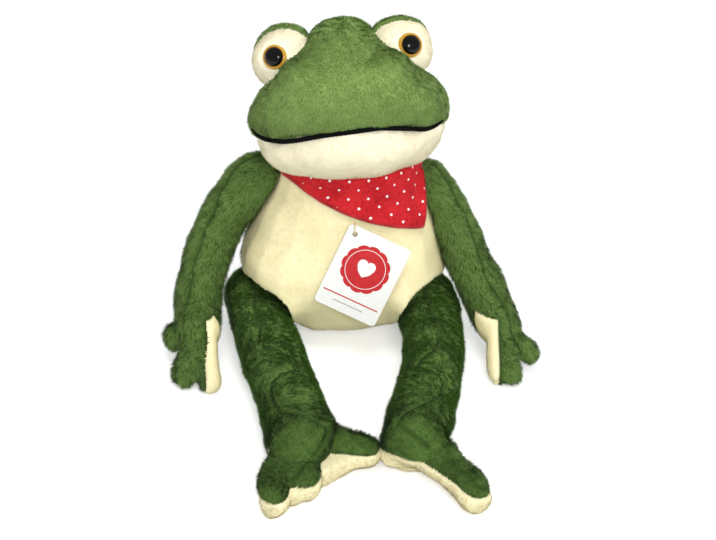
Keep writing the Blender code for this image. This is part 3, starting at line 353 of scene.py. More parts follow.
class Skin:
    """One closed skin round a body's solids, as arrays."""

    def __init__(self, names):
        holder = new_object("skin", joined_mesh(names))
        remesh = holder.modifiers.new("one skin", "REMESH")
        remesh.mode = "VOXEL"
        remesh.voxel_size = VOXEL
        graph = bpy.context.evaluated_depsgraph_get()
        mesh = bpy.data.meshes.new_from_object(holder.evaluated_get(graph))
        bpy.data.objects.remove(holder)
        outer_island(mesh)
        self.points = np.empty((len(mesh.vertices), 3))
        mesh.vertices.foreach_get("co", self.points.ravel())
        self.edges = np.empty((len(mesh.edges), 2), dtype=int)
        mesh.edges.foreach_get("vertices", self.edges.ravel())
        mesh.calc_loop_triangles()
        self.faces = np.empty((len(mesh.loop_triangles), 3), dtype=int)
        mesh.loop_triangles.foreach_get("vertices", self.faces.ravel())
        self.points = smoothed(self.points, self.edges, SMOOTHING)
        self.rest = self.points

    def move(self, moves):
        """Moves the form where the table of the body says, and keeps its rest places."""
        self.rest = self.points
        across, down = seen(self.points)
        shift = np.zeros_like(self.points)
        for at_across, at_down, reach, right, lower, nearer in moves:
            away = ((across - at_across) ** 2 + (down - at_down) ** 2) / (2 * reach ** 2)
            step = right * VIEW_AXES[0] - lower * VIEW_AXES[1] + nearer * VIEW_AXES[2]
            shift += np.exp(-away)[:, None] * step * VIEW_STEP
        above = np.clip(self.points[:, 2] / 0.004, 0, 1)
        self.points = self.points + shift * above[:, None]
        lowest = np.minimum(self.rest[:, 2], FLOOR_ROOM)
        self.points[:, 2] = np.maximum(self.points[:, 2], lowest)

    def normals(self):
        a, b, c = (self.points[self.faces[:, k]] for k in range(3))
        across = np.cross(b - a, c - a)
        total = np.zeros_like(self.points)
        for k in range(3):
            np.add.at(total, self.faces[:, k], across)
        return total / np.maximum(np.linalg.norm(total, axis=1), 1e-12)[:, None]

    def push(self, amount):
        self.points = self.points + self.normals() * np.asarray(amount).reshape(-1, 1)

    def scatter(self, density, most, rng):
        """Even random points: places, normals and the face of each."""
        a, b, c = (self.points[self.faces[:, k]] for k in range(3))
        areas = np.linalg.norm(np.cross(b - a, c - a), axis=1) / 2
        count = int(min(most, areas.sum() * density))
        picked = rng.choice(len(areas), count, p=areas / areas.sum())
        u, v = rng.random((2, count, 1))
        flip = u + v > 1
        u, v = np.where(flip, 1 - u, u), np.where(flip, 1 - v, v)
        corners = self.faces[picked]
        weights = (1 - u - v, u, v)
        normals = self.normals()
        places = sum(w * self.points[corners[:, k]] for k, w in enumerate(weights))
        rest = sum(w * self.rest[corners[:, k]] for k, w in enumerate(weights))
        facing = sum(w * normals[corners[:, k]] for k, w in enumerate(weights))
        return places, unit(facing), rest


def unit(vectors):
    return vectors / np.maximum(np.linalg.norm(vectors, axis=-1, keepdims=True), 1e-12)


# the camera's right, up and towards
VIEW_AXES = np.array([(1, 0, 0), (0, math.sin(VIEW_HEIGHT), math.cos(VIEW_HEIGHT)),
                      (0, -math.cos(VIEW_HEIGHT), math.sin(VIEW_HEIGHT))])


def seen(points):
    """Where the camera sees the points, across and down, in steps of one part of the view."""
    right, up, towards = (points @ axis for axis in VIEW_AXES)
    scale = VIEW_DISTANCE / (VIEW_DISTANCE - towards) / VIEW_STEP
    return VIEW_ORIGIN[0] + right * scale, VIEW_ORIGIN[1] - up * scale


def waves(points, size, seed, count=9):
    """Smooth noise from -1 to 1 that changes over about the given size."""
    rng = np.random.default_rng(seed)
    total = np.zeros(len(points))
    for _ in range(count):
        direction = unit(rng.normal(size=3)) * 2 * math.pi / size * rng.uniform(0.5, 1.3)
        total += np.sin(points @ direction + rng.uniform(0, 2 * math.pi))
    return total / math.sqrt(count)


class Panels:
    """Tells which node a point of the skin belongs to, and how far it is from a seam."""

    def __init__(self, names):
        self.trees = [solid_tree(name) for name in names]

    def sort(self, points):
        gaps = np.empty((len(points), len(self.trees)))
        for i, point in enumerate(points):
            place = Vector(point)
            for k, tree in enumerate(self.trees):
                gaps[i, k] = tree.find_nearest(place)[3]
        nearest, second = np.argsort(gaps, axis=1)[:, :2].T
        rows = np.arange(len(points))
        return nearest, gaps[rows, second] - gaps[rows, nearest]


class Spine:
    """A limb's middle line, from the mean of its solids in slices along an axis."""

    def __init__(self, names, axis, slices=14):
        points = np.concatenate([corners(name) for name in names])
        self.axis = np.array(axis, dtype=float)
        along = points @ self.axis
        edges = np.linspace(along.min(), along.max(), slices + 1)
        places, middles = [], []
        for low, high in zip(edges, edges[1:]):
            inside = points[(along >= low) & (along <= high)]
            if len(inside):
                places.append((low + high) / 2)
                middles.append((inside.min(axis=0) + inside.max(axis=0)) / 2)
        self.places = np.array(places)
        self.middles = np.array(middles)

    def middle(self, points):
        along = points @ self.axis
        return np.stack([np.interp(along, self.places, column) for column in self.middles.T],
                        axis=1)

    def heading(self, points):
        step = self.axis * 0.012
        return unit(self.middle(points + step) - self.middle(points - step) + self.axis * 1e-6)


def corners(name):
    mesh = bpy.data.objects[name].data
    points = np.empty((len(mesh.vertices), 3))
    mesh.vertices.foreach_get("co", points.ravel())
    return points


def strands(places, normals, combs, pile, factor, rng):
    """Blades of pile: three corners for each, its own normals, and its tip and tone."""
    length, width, lean, _ = pile
    grain = 0.25 if pile is CREAM_PILE else 1.0
    count = len(places)
    clump = np.stack([waves(places, CLUMP_SIZE, SEED + k) for k in range(3)], axis=1)
    fine = np.stack([waves(places, CLUMP_SIZE / 3, SEED + 5 + k) for k in range(3)], axis=1)
    heading = combs + 0.30 * clump + 0.22 * fine + rng.normal(scale=0.22, size=(count, 3))
    heading = unit(heading - normals * np.sum(heading * normals, axis=1, keepdims=True))
    tilt = (lean + rng.normal(scale=0.16, size=count) + 0.10 * clump[:, 0])[:, None]
    growing = normals * np.cos(tilt) + heading * np.sin(tilt)
    reach = length * factor * rng.uniform(0.75, 1.15, count)
    across = unit(np.cross(normals, heading) + rng.normal(scale=0.25, size=(count, 3)))
    half = across * (width / 2 * rng.uniform(0.8, 1.2, count))[:, None]
    points = np.empty((count, 3, 3))
    points[:, 0] = places - half
    points[:, 1] = places + half
    points[:, 2] = places + growing * reach[:, None]
    points[:, 2, 2] = np.maximum(points[:, 2, 2], TIP_FLOOR)
    face = unit(np.cross(points[:, 1] - points[:, 0], points[:, 2] - points[:, 0]))
    turned = np.sum(face * normals, axis=1) < 0
    points[turned, 0], points[turned, 1] = points[turned, 1].copy(), points[turned, 0].copy()
    face[turned] *= -1
    bend = unit(normals * 0.75 + (face * 0.35 + heading * 0.10) * grain)
    spread = 0.22 * rng.normal(size=count) + 0.16 * clump[:, 1] + 0.12 * fine[:, 2]
    tone = np.clip(0.5 + spread * grain, 0, 1)
    tips = np.tile([0.0, 0.0, 1.0], count)
    return points.reshape(-1, 3), np.repeat(bend, 3, axis=0), tips, np.repeat(tone, 3)


def piled_piece(name, skin, faces, roots, material, pale):
    """A mesh of the given skin faces and the strands that grow on them."""
    used, packed = np.unique(skin.faces[faces], return_inverse=True)
    packed = packed.reshape(-1, 3)
    blades, bends, tips, tones, shades = roots
    base = skin.points[used]
    points = np.concatenate([base, blades])
    triangles = np.concatenate([packed, len(base) + np.arange(len(blades)).reshape(-1, 3)])
    mesh = bpy.data.meshes.new(name)
    mesh.vertices.add(len(points))
    mesh.vertices.foreach_set("co", points.ravel())
    mesh.loops.add(len(triangles) * 3)
    mesh.loops.foreach_set("vertex_index", triangles.ravel())
    mesh.polygons.add(len(triangles))
    mesh.polygons.foreach_set("loop_start", np.arange(len(triangles)) * 3)
    mesh.polygons.foreach_set("material_index", np.zeros(len(triangles), dtype=int))
    mesh.update(calc_edges=True)
    # the skin between the strands: under green pile it takes the dark root colour and painted
    # shade of the pile's depth, under cream pile it stays light
    tip, tone, shade = (0.7, 0.5, 1.0) if pale else (0.0, 0.25, 0.6)
    for key, below, above in (("tip", tip, tips), ("tone", tone, tones), ("shade", shade, shades)):
        values = np.concatenate([np.full(len(base), below), above])
        mesh.attributes.new(key, "FLOAT", "POINT").data.foreach_set("value", values)
    normals = np.concatenate([skin.normals()[used], bends])
    mesh.normals_split_custom_set_from_vertices(normals.tolist())
    mesh.materials.append(material)
    return new_object(name, mesh)


MATERIALS = {
    "limb": plush("limb_plush", LIMB_GREENS, 45),
    # the legs' pile: lighter greens, painted light
    "leg": plush("leg_plush", LIGHTENED_LEG_GREENS, 45),
    "head": plush("head_plush", HEAD_GREENS, 40),
    "cream": plush("cream_plush", CREAMS, 30),
    "pale": plush("pale_cream_plush", PALE_CREAMS, 30),
}


def soft_body(body, kinds, extra, comb, partings=None, short_near=(), lenses=None, tint=None):
    """Skins a body, splits it by node and gives each node's part its pile.

    kinds: node -> (piece name, material, pile, slot, nodes that go with it), or None for a
    node that shows itself and only shapes the skin. comb: points -> the way the pile lies.
    partings: points -> the distance to a seam inside a node. short_near: (mesh, least share,
    reach) of each piece that presses the pile; green pile beside it is darkened with painted
    shade. tint: points -> (lift of tone, share of shade), painted light and painted shade.
    """
    rng = np.random.default_rng(SEED)
    names = list(kinds)
    skin = Skin(names + extra)
    panels = Panels(names)
    nearest, seam = panels.sort(skin.points)
    if lenses is not None:
        nearest = lenses(skin.points, nearest, names)
    groove = np.exp(-(seam / SEAM_WIDTH) ** 2)
    if partings is not None:
        groove = np.maximum(groove, np.exp(-(partings(skin.points) / SEAM_WIDTH) ** 2))
    rise = LUMP_DEPTH * waves(skin.points, LUMP_SIZE, SEED) - SKIN_INSET - SEAM_DEPTH * groove
    rise = np.where(skin.points[:, 2] < SEAT_HEIGHT, 0.0, rise)
    skin.move(MOVES[body])
    skin.push(rise)
    owner = nearest[skin.faces]
    owner = np.where(owner[:, 1] == owner[:, 2], owner[:, 1], owner[:, 0])
    cutting = [(BVHTree.FromPolygons([v.co for v in mesh.vertices],
                                     [p.vertices for p in mesh.polygons]), least, reach)
               for mesh, least, reach in short_near]
    density = max(kind[2][3] for kind in kinds.values() if kind)
    places, facing, rest = skin.scatter(density, MOST_STRANDS * len(names), rng)
    root_owner, root_seam = panels.sort(rest)
    if lenses is not None:
        root_owner = lenses(rest, root_owner, names)
    for k, name in enumerate(names):
        if kinds[name] is None:
            continue
        piece_name, material, pile, slot, going = kinds[name]
        chosen = np.nonzero(root_owner == k)[0][:MOST_STRANDS]
        at, up = places[chosen], facing[chosen]
        near = root_seam[chosen]
        if partings is not None:
            near = np.minimum(near, np.abs(partings(rest[chosen])))
        factor = 0.30 + 0.70 * np.clip(near / SHORT_BESIDE_SEAM, 0, 1)
        if pile is CREAM_PILE:
            shade = 0.75 + 0.25 * np.clip(near / DARK_BESIDE_SEAM["cream"], 0, 1)
        else:
            shade = 0.15 + 0.85 * np.clip(near / DARK_BESIDE_SEAM["green"], 0, 1)
        for tree, least, reach in cutting:
            gap = np.array([tree.find_nearest(Vector(p))[3] for p in at])
            factor *= least + (1 - least) * np.clip(gap / reach, 0, 1)
            # painted shade of the green pile beside the pressing piece
            if pile is not CREAM_PILE:
                shade *= 1 - 0.50 * np.exp(-(gap / PAINTED_SHADE_BESIDE_PIECE) ** 2)
        blades, bends, tips, tones = strands(at, up, comb(rest[chosen]), pile, factor, rng)
        # the tint's painted light and painted shade
        if tint is not None:
            lift, dim = tint(rest[chosen])
            tones = np.clip(tones + np.repeat(lift, 3), 0, 1)
            shade = shade * dim
        roots = (blades, bends, tips, tones, np.repeat(shade, 3))
        faces = np.nonzero(owner == k)[0]
        piece = piled_piece(piece_name, skin, faces, roots, MATERIALS[material],
                            pile is CREAM_PILE)
        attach(piece, body)
        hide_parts(name, *going)


def laid(direction):
    """A comb that lays all the pile one way."""
    return lambda points: np.tile(direction, (len(points), 1))


# Head and mouth

def eye_axes(side):
    """The frame of an eye, from its iris: Z out along the pupil."""
    ring = corners(f"{side}_eye_iris")
    middle = (ring.min(axis=0) + ring.max(axis=0)) / 2
    centre = ring.mean(axis=0)
    _, _, axes = np.linalg.svd(ring - centre)
    out = axes[2] * np.sign(axes[2] @ np.array([0, -1, 0.2]))
    heights = (ring - middle) @ out
    base = Vector(middle) + Vector(out) * float(heights.min())
    turn = Vector(out).to_track_quat("Z", "Y").to_matrix().to_4x4()
    return Matrix.Translation(base) @ turn


# across and down in the view, and the share of the full thickness
MOUTH_LINE = [(250, 127.5, 0.35), (252.5, 131, 0.55), (256, 134.5, 0.75), (264, 138.5, 0.95),
              (282, 141, 1.0), (296, 139.5, 1.0), (324, 134.5, 1.0), (352, 131, 1.0),
              (380, 127, 1.0), (408, 127.5, 1.0), (426, 128.5, 0.95), (435, 125.5, 0.75),
              (440, 122.5, 0.55), (444, 119, 0.35)]
MOUTH_RADIUS = 0.00165
MOUTH_LIFT = 0.0004
MOUTH_POINTS = 150
MOUTH_WINDOW = 9


def smooth_line(rows, count):
    """Evenly spread points on a curve through the rows of a table."""
    table = np.array(rows, dtype=float)
    steps = np.linalg.norm(np.diff(table[:, :2], axis=0), axis=1)
    place = np.concatenate([[0], np.cumsum(steps)])
    even = np.linspace(0, place[-1], count)
    line = np.stack([np.interp(even, place, column) for column in table.T], axis=1)
    for _ in range(6):
        line[1:-1] = (line[:-2] + 2 * line[1:-1] + line[2:]) / 4
    return line


def tube(name, middles, radii, ring=12):
    """A round cord along the points, closed at both ends."""
    along = unit(np.gradient(middles, axis=0))
    side_way = unit(np.cross(along, VIEW_AXES[2]))
    up_way = np.cross(side_way, along)
    points = []
    for middle, radius, side, up in zip(middles, radii, side_way, up_way):
        for j in range(ring):
            turn = 2 * math.pi * j / ring
            points.append(middle + radius * (math.cos(turn) * side + math.sin(turn) * up))
    faces = grid_faces(len(middles), ring, round_columns=False, round_rows=True)
    faces.append(tuple(range(ring))[::-1])
    faces.append(tuple((len(middles) - 1) * ring + j for j in range(ring)))
    mesh = mesh_of(name, points, faces)
    mesh.shade_smooth()
    return new_object(name, mesh)


def near_side(reaches, window):
    """The least of the reaches round each, made even, so that no seam lets a ray through."""
    padded = np.pad(reaches, window, mode="edge")
    least = np.min([padded[k:k + len(reaches)] for k in range(2 * window + 1)], axis=0)
    for _ in range(12):
        padded = np.pad(least, 1, mode="edge")
        least = (padded[:-2] + 2 * padded[1:-1] + padded[2:]) / 4
    return least


def make_mouth():
    """The yarn of the mouth, laid on the face along the line that the camera sees."""
    tree = solid_tree("head_top_panel", "jaw_panel")
    right, up, towards = (Vector(axis) for axis in VIEW_AXES)
    eye = VIEW_TARGET + towards * VIEW_DISTANCE
    aims, reaches, radii = [], [], []
    for across, down, share in smooth_line(MOUTH_LINE, MOUTH_POINTS):
        flat = right * (across - VIEW_ORIGIN[0]) - up * (down - VIEW_ORIGIN[1])
        aim = (flat * VIEW_STEP - eye).normalized()
        reach = tree.ray_cast(eye, aim)[3]
        if reach is None:
            continue
        aims.append(tuple(aim))
        reaches.append(reach)
        radii.append(MOUTH_RADIUS * share)
    reaches = near_side(np.array(reaches), MOUTH_WINDOW)
    line = np.array(eye) + np.array(aims) * (reaches - MOUTH_LIFT)[:, None]
    wobble = 1 + 0.06 * np.sin(np.arange(len(radii)) * 1.9)
    return tube("mouth_yarn", line, np.array(radii) * wobble)


HEAD_LEAN = math.radians(30)
LENS_REACH = 0.0072
head_kinds = {
    "head_top_panel": ("head_top_plush", "head", HEAD_PILE, "head_plush", ["head_filling"]),
    "jaw_panel": ("jaw_plush", "pale", CREAM_PILE, "cream_plush", []),
}
for side in SIDES:
    head_kinds[f"{side}_eye_mound"] = (f"{side}_mound_plush", "pale", CREAM_PILE, "cream_plush",
                                       [f"{side}_eye_washer"])
    head_kinds[f"{side}_eyelid"] = (f"{side}_lid_plush", "head", HEAD_PILE, "head_plush", [])
    head_kinds[f"{side}_eye_iris"] = None
    head_kinds[f"{side}_eye_pupil"] = None


def beside_lenses(points, nearest, names):
    """Gives the skin just outside a lens to the mound round it."""
    owner = nearest.copy()
    for side in SIDES:
        axes = EYE_AXES[side]
        offset = points - np.array(axes.translation)
        out = np.array(axes.col[2][:3])
        away = np.linalg.norm(offset - np.outer(offset @ out, out), axis=1)
        lens = [names.index(f"{side}_eye_{part}") for part in ("iris", "pupil")]
        owner[np.isin(owner, lens) & (away > LENS_REACH)] = names.index(f"{side}_eye_mound")
    return owner


EYE_AXES = {side: eye_axes(side) for side in SIDES}
mouth = make_mouth()
iris_meshes = [bpy.data.objects[f"{side}_eye_iris"].data for side in SIDES]
soft_body("head", head_kinds, ["head_filling", "left_eye_washer", "right_eye_washer"],
          laid([0.0, -math.sin(HEAD_LEAN), -math.cos(HEAD_LEAN)]), lenses=beside_lenses,
          short_near=[(mouth.data, 0.45, 0.004)] + [(mesh, 0.25, 0.004) for mesh in iris_meshes])

# Arms and legs

ARM_SEAM_TURN = math.radians(24)
LEG_SEAM_TURN = 0.0
# how much lighter each arm's pile is made: painted light, most on the left arm
ARM_PAINTED_LIGHT = {"left": 0.22, "right": 0.04}
# where along Y the thigh starts to lighten with painted light and the foot to darken with painted
# shade, and over what length
THIGH_PAINTED_LIGHT = (-0.11, 0.06)
FOOT_PAINTED_SHADE = (-0.168, 0.03)


def limb(side, kind, axis, panel, green, seam_turn):
    """Dresses an arm or leg, with a seam along its front besides the one round its panel."""
    spine = Spine([f"{side}_{kind}_sleeve"], axis)

    def seam_gap(points):
        out = points - spine.middle(points)
        heading = spine.heading(points)
        front = unit(VIEW_AXES[2] - heading * (heading @ VIEW_AXES[2])[:, None])
        inner = unit(np.cross(heading, front)) * -SIDES[side]
        angle = np.arctan2(np.sum(out * inner, axis=1), np.sum(out * front, axis=1))
        angle -= seam_turn
        angle = (angle + math.pi) % (2 * math.pi) - math.pi
        return np.abs(angle) * np.linalg.norm(out, axis=1)

    def tint(points):
        # arms: each arm's pile made lighter, painted light
        if kind == "arm":
            return np.full(len(points), ARM_PAINTED_LIGHT[side]), 1.0
        # legs: painted light on the thighs, painted shade on the feet
        thigh = np.clip((points[:, 1] - THIGH_PAINTED_LIGHT[0]) / THIGH_PAINTED_LIGHT[1], 0, 1)
        foot = np.clip((FOOT_PAINTED_SHADE[0] - points[:, 1]) / FOOT_PAINTED_SHADE[1], 0, 1)
        return 0.05 + 0.40 * thigh - 0.30 * foot, 1 - 0.42 * foot

    soft_body(f"{side}_{kind}", {
        f"{side}_{kind}_sleeve": (f"{side}_{kind}_plush", green, LONG_PILE, "green_plush",
                                  [f"{side}_{kind}_filling"]),
        panel: (f"{panel}_plush", "cream", CREAM_PILE, "cream_plush", []),
    }, [f"{side}_{kind}_filling"], spine.heading, seam_gap, tint=tint)


for side in SIDES:
    limb(side, "arm", (0, 0, -1), f"{side}_palm", "limb", ARM_SEAM_TURN)
    limb(side, "leg", (0, -1, 0), f"{side}_sole", "leg", LEG_SEAM_TURN)


# Neckerchief

CLOTH_TOP = 0.1288
CLOTH_BAND = 0.0095
CLOTH_DROP = 0.0425
CLOTH_APEX = math.radians(-60)
CLOTH_SPREAD = math.radians(118)
CLOTH_BACK_SPREAD = math.radians(20)
CLOTH_CURVE = 1.15
CLOTH_STAND_OFF = 0.0024
CLOTH_THICKNESS = 0.0007
CLOTH_AROUND = 420
CLOTH_DOWN = 44
CLOTH_FIXED_ROWS = 4
CLOTH_WINDOW = 3
# depth and count round the neck of the fine gathers
CLOTH_GATHERS = ((0.00022, 31), (0.00016, 47))
CLOTH_SWAG = 0.0016
CLOTH_PLEAT = 0.0005
CLOTH_PLEATS = 9
CLOTH_FLARE = 0.0012
# where the cloth bunches beside its short end: angle, spread and depth
CLOTH_BUNCH = (math.radians(-86), math.radians(16), 0.0016)
NECK_LEAN = 0.06
# the rolled upper edge: stand-off from the neck and height below the top
CLOTH_ROLL = [(0.0006, 0.0020), (0.0014, 0.0004), (0.0030, 0.0000), (0.0042, 0.0014),
              (0.0046, 0.0036), (0.0040, 0.0058), (0.0029, 0.0074)]
DOT_PITCH = 0.0094
DOT_RADIUS = 0.00080
HEM_HALF_THICKNESS = 0.00062
HEM_HALF_WIDTH = 0.00150
HEM_RING = 8
KNOT_SIZE = (0.0100, 0.0052, 0.0060)
TAIL_LENGTH = 0.0185
TAIL_DROP = 0.0125
TAIL_OUT = 0.0035
TAIL_GRID = (22, 12)


def spotted_cloth(name):
    """Woven red cotton with white pin dots on a diagonal lattice, laid out in metres by UV."""
    shader = Shader(name).set(Roughness=0.85, Sheen_Weight=0.04, Sheen_Roughness=0.4)
    shader.set(Specular_IOR_Level=0.12)
    where = shader.coordinates("UV")
    turned = shader.node("ShaderNodeMapping")
    turned.inputs["Rotation"].default_value = (0, 0, math.radians(45))
    turned.inputs["Scale"].default_value = (1 / DOT_PITCH, 1 / DOT_PITCH, 0)
    shader.link(where, turned.inputs["Vector"])
    cell = shader.node("ShaderNodeVectorMath", operation="FRACTION")
    shader.link(turned.outputs[0], cell.inputs[0])
    from_middle = shader.node("ShaderNodeVectorMath", operation="SUBTRACT")
    shader.link(cell.outputs[0], from_middle.inputs[0])
    from_middle.inputs[1].default_value = (0.5, 0.5, 0)
    distance = shader.node("ShaderNodeVectorMath", operation="LENGTH")
    shader.link(from_middle.outputs[0], distance.inputs[0])
    ragged = shader.times(shader.noise(where, 2500, 1.0), 0.018)
    away = shader.add(distance.outputs["Value"], ragged)
    dot = shader.ramp(away, [(DOT_RADIUS / DOT_PITCH, (1, 1, 1)),
                             (DOT_RADIUS / DOT_PITCH + 0.03, (0, 0, 0))])
    threads = []
    for direction in ("X", "Y"):
        weave = shader.node("ShaderNodeTexWave", wave_type="BANDS", bands_direction=direction)
        weave.inputs["Scale"].default_value = 700
        shader.link(where, weave.inputs["Vector"])
        threads.append(weave.outputs["Fac"])
    woven = shader.times(*threads)
    mottle = shader.add(shader.times(shader.noise(where, 60, 3.0), 0.5),
                        shader.times(shader.noise(where, 420, 3.0), 0.5))
    tone = shader.add(shader.times(woven, 0.20), mottle)
    base = shader.ramp(tone, [(0.32, REDS[0]), (0.54, REDS[1]), (0.80, REDS[2])])
    shader.colour(shader.mix(dot, base, DOT_WHITE))
    shader.bump(woven, 0.5, 0.00006)
    return shader.material


def lay_uv(mesh, u, v, girth):
    """Writes the cloth's own metres as its UV, with a seam where the columns close."""
    columns, rows = u.shape
    layer = mesh.uv_layers.new(name="cloth")
    for polygon in mesh.polygons:
        places = [divmod(mesh.loops[i].vertex_index, rows) for i in polygon.loop_indices]
        last = any(column == columns - 1 for column, row in places)
        for i, (column, row) in zip(polygon.loop_indices, places):
            past = girth if last and column == 0 else 0.0
            layer.data[i].uv = (u[column, row] + past, v[column, row])


def cloth_drop(angle):
    turn = angle - CLOTH_APEX
    away = turn / CLOTH_SPREAD if turn > 0 else -turn / CLOTH_BACK_SPREAD
    return CLOTH_BAND + (CLOTH_DROP - CLOTH_BAND) * max(0.0, 1 - away) ** CLOTH_CURVE


def far_side(reaches, window):
    """The most of the reaches round each, made even, so that the cloth spans the seams."""
    rows = reaches.shape[1]
    most = reaches
    for step in range(-window, window + 1):
        most = np.maximum(most, np.roll(reaches, step, axis=0))
    padded = np.pad(most, ((0, 0), (window, window)), mode="edge")
    most = np.max([padded[:, k:k + rows] for k in range(2 * window + 1)], axis=0)
    for _ in range(10):
        padded = np.pad(most, ((0, 0), (1, 1)), mode="edge")
        most = (padded[:, :-2] + 2 * most + padded[:, 2:]) / 4
        most = (np.roll(most, 1, axis=0) + 2 * most + np.roll(most, -1, axis=0)) / 4
    return most


def make_neckerchief():
    """The draped triangle: its object and the points of its free edge."""
    tree = solid_tree("belly_panel", "back_panel")
    band = corners("neckerchief")
    ring = band[band[:, 2] > CLOTH_TOP - 0.001]
    centre = (ring.min(axis=0) + ring.max(axis=0)) / 2
    rng = np.random.default_rng(SEED)
    phases = rng.uniform(0, 2 * math.pi, 3)
    starts = np.empty((CLOTH_AROUND, CLOTH_DOWN, 3))
    outwards = np.empty((CLOTH_AROUND, CLOTH_DOWN, 3))
    reaches = np.empty((CLOTH_AROUND, CLOTH_DOWN))
    folds = np.empty((CLOTH_AROUND, CLOTH_DOWN))
    for k in range(CLOTH_AROUND):
        angle = 2 * math.pi * k / CLOTH_AROUND - math.pi
        drop = cloth_drop(angle)
        turn = angle - CLOTH_APEX
        spread = CLOTH_SPREAD if turn > 0 else CLOTH_BACK_SPREAD
        lap = max(0.0, 1 - abs(turn) / spread)
        gather = sum(depth * math.sin(number * angle + phase)
                     for (depth, number), phase in zip(CLOTH_GATHERS, phases))
        beside = math.exp(-((angle - CLOTH_BUNCH[0]) / CLOTH_BUNCH[1]) ** 2) * CLOTH_BUNCH[2]
        outward = Vector((-math.sin(angle), -math.cos(angle), 0))
        tail = CLOTH_DOWN - len(CLOTH_ROLL)
        for j in range(CLOTH_DOWN):
            if j < len(CLOTH_ROLL):
                stand_off, below = CLOTH_ROLL[j]
                stand_off += (gather + beside) * (j / len(CLOTH_ROLL))
            else:
                share = (j - len(CLOTH_ROLL) + 1) / tail
                below = CLOTH_ROLL[-1][1] + (drop - CLOTH_ROLL[-1][1]) * share
                swag = math.sin(2 * math.pi * (1.15 * share + 0.42 * (1 - lap)) + 0.9)
                pleat = math.sin(CLOTH_PLEATS * turn + 2.2 * share + phases[2])
                free = math.sin(math.pi * min(1, share * 1.05)) ** 0.8 * lap ** 0.5
                stand_off = CLOTH_STAND_OFF + (CLOTH_SWAG * swag + CLOTH_PLEAT * pleat) * free
                stand_off += CLOTH_FLARE * share ** 3 * lap + gather * (1 - share) + beside
            height = CLOTH_TOP - below
            lean = NECK_LEAN * (height - CLOTH_TOP)
            start = Vector((centre[0] + lean, centre[1], height))
            hit = tree.ray_cast(start + outward * 0.15, -outward, 0.15)[0]
            starts[k, j] = start
            outwards[k, j] = outward
            reaches[k, j] = (hit - start).length if hit else 0.03
            folds[k, j] = stand_off
    for _ in range(10):
        eased = (folds[:, :-2] + 2 * folds[:, 1:-1] + folds[:, 2:]) / 4
        folds[:, CLOTH_FIXED_ROWS:-1] = eased[:, CLOTH_FIXED_ROWS - 1:]
        folds = (np.roll(folds, 1, axis=0) + 2 * folds + np.roll(folds, -1, axis=0)) / 4
    points = starts + outwards * (far_side(reaches, CLOTH_WINDOW) + folds)[:, :, None]
    step = np.linalg.norm(np.diff(points, axis=1), axis=2)
    v = -np.concatenate([np.zeros((CLOTH_AROUND, 1)), np.cumsum(step, axis=1)], axis=1)
    lengths = np.linalg.norm(np.roll(points, -1, axis=0) - points, axis=2)
    level = lengths[:, len(CLOTH_ROLL) + 8]
    u = np.repeat((np.cumsum(level) - level)[:, None], CLOTH_DOWN, axis=1)
    mesh = mesh_of("neckerchief_cloth", points, grid_faces(CLOTH_AROUND, CLOTH_DOWN))
    lay_uv(mesh, u, v, level.sum())
    mesh.materials.append(MATERIALS["cloth"])
    mesh.shade_smooth()
    cloth = new_object("neckerchief_cloth", mesh)
    thicken(cloth)
    return cloth, points[:, -1]


MATERIALS["cloth"] = spotted_cloth("spotted_red_cotton")


def make_hem(edge):
    """The narrow turned hem along the cloth's free edge, with its stitches pressed in."""
    count = len(edge)
    along = unit(np.roll(edge, -1, axis=0) - np.roll(edge, 1, axis=0))
    outward = unit(np.cross(along, np.tile([0.0, 0.0, 1.0], (count, 1))))
    up = np.cross(outward, along)
    press = 1 - 0.22 * (np.arange(count) % 3 == 0)
    points = np.empty((count, HEM_RING, 3))
    for j in range(HEM_RING):
        angle = 2 * math.pi * j / HEM_RING
        across = outward * (HEM_HALF_THICKNESS * math.cos(angle))
        tall = up * (HEM_HALF_WIDTH * math.sin(angle))
        points[:, j] = edge + (across + tall) * press[:, None] - outward * 0.0003 + up * 0.0008
    mesh = mesh_of("neckerchief_hem", points, grid_faces(count, HEM_RING, round_rows=True))
    mesh.materials.append(MATERIALS["hem"])
    mesh.shade_smooth()
    return new_object("neckerchief_hem", mesh)


def plain_cloth(name):
    """The hem's red, with the fine rib of its thread."""
    shader = Shader(name).set(Roughness=0.8, Sheen_Weight=0.25, Specular_IOR_Level=0.25)
    where = shader.coordinates()
    grain = shader.noise(where, 900, 2.0)
    shader.colour(shader.two_tones(shader.noise(where, 90, 2.0), REDS[:2]))
    shader.bump(grain, 0.4, 0.0001)
    return shader.material


MATERIALS["hem"] = plain_cloth("red_hem")


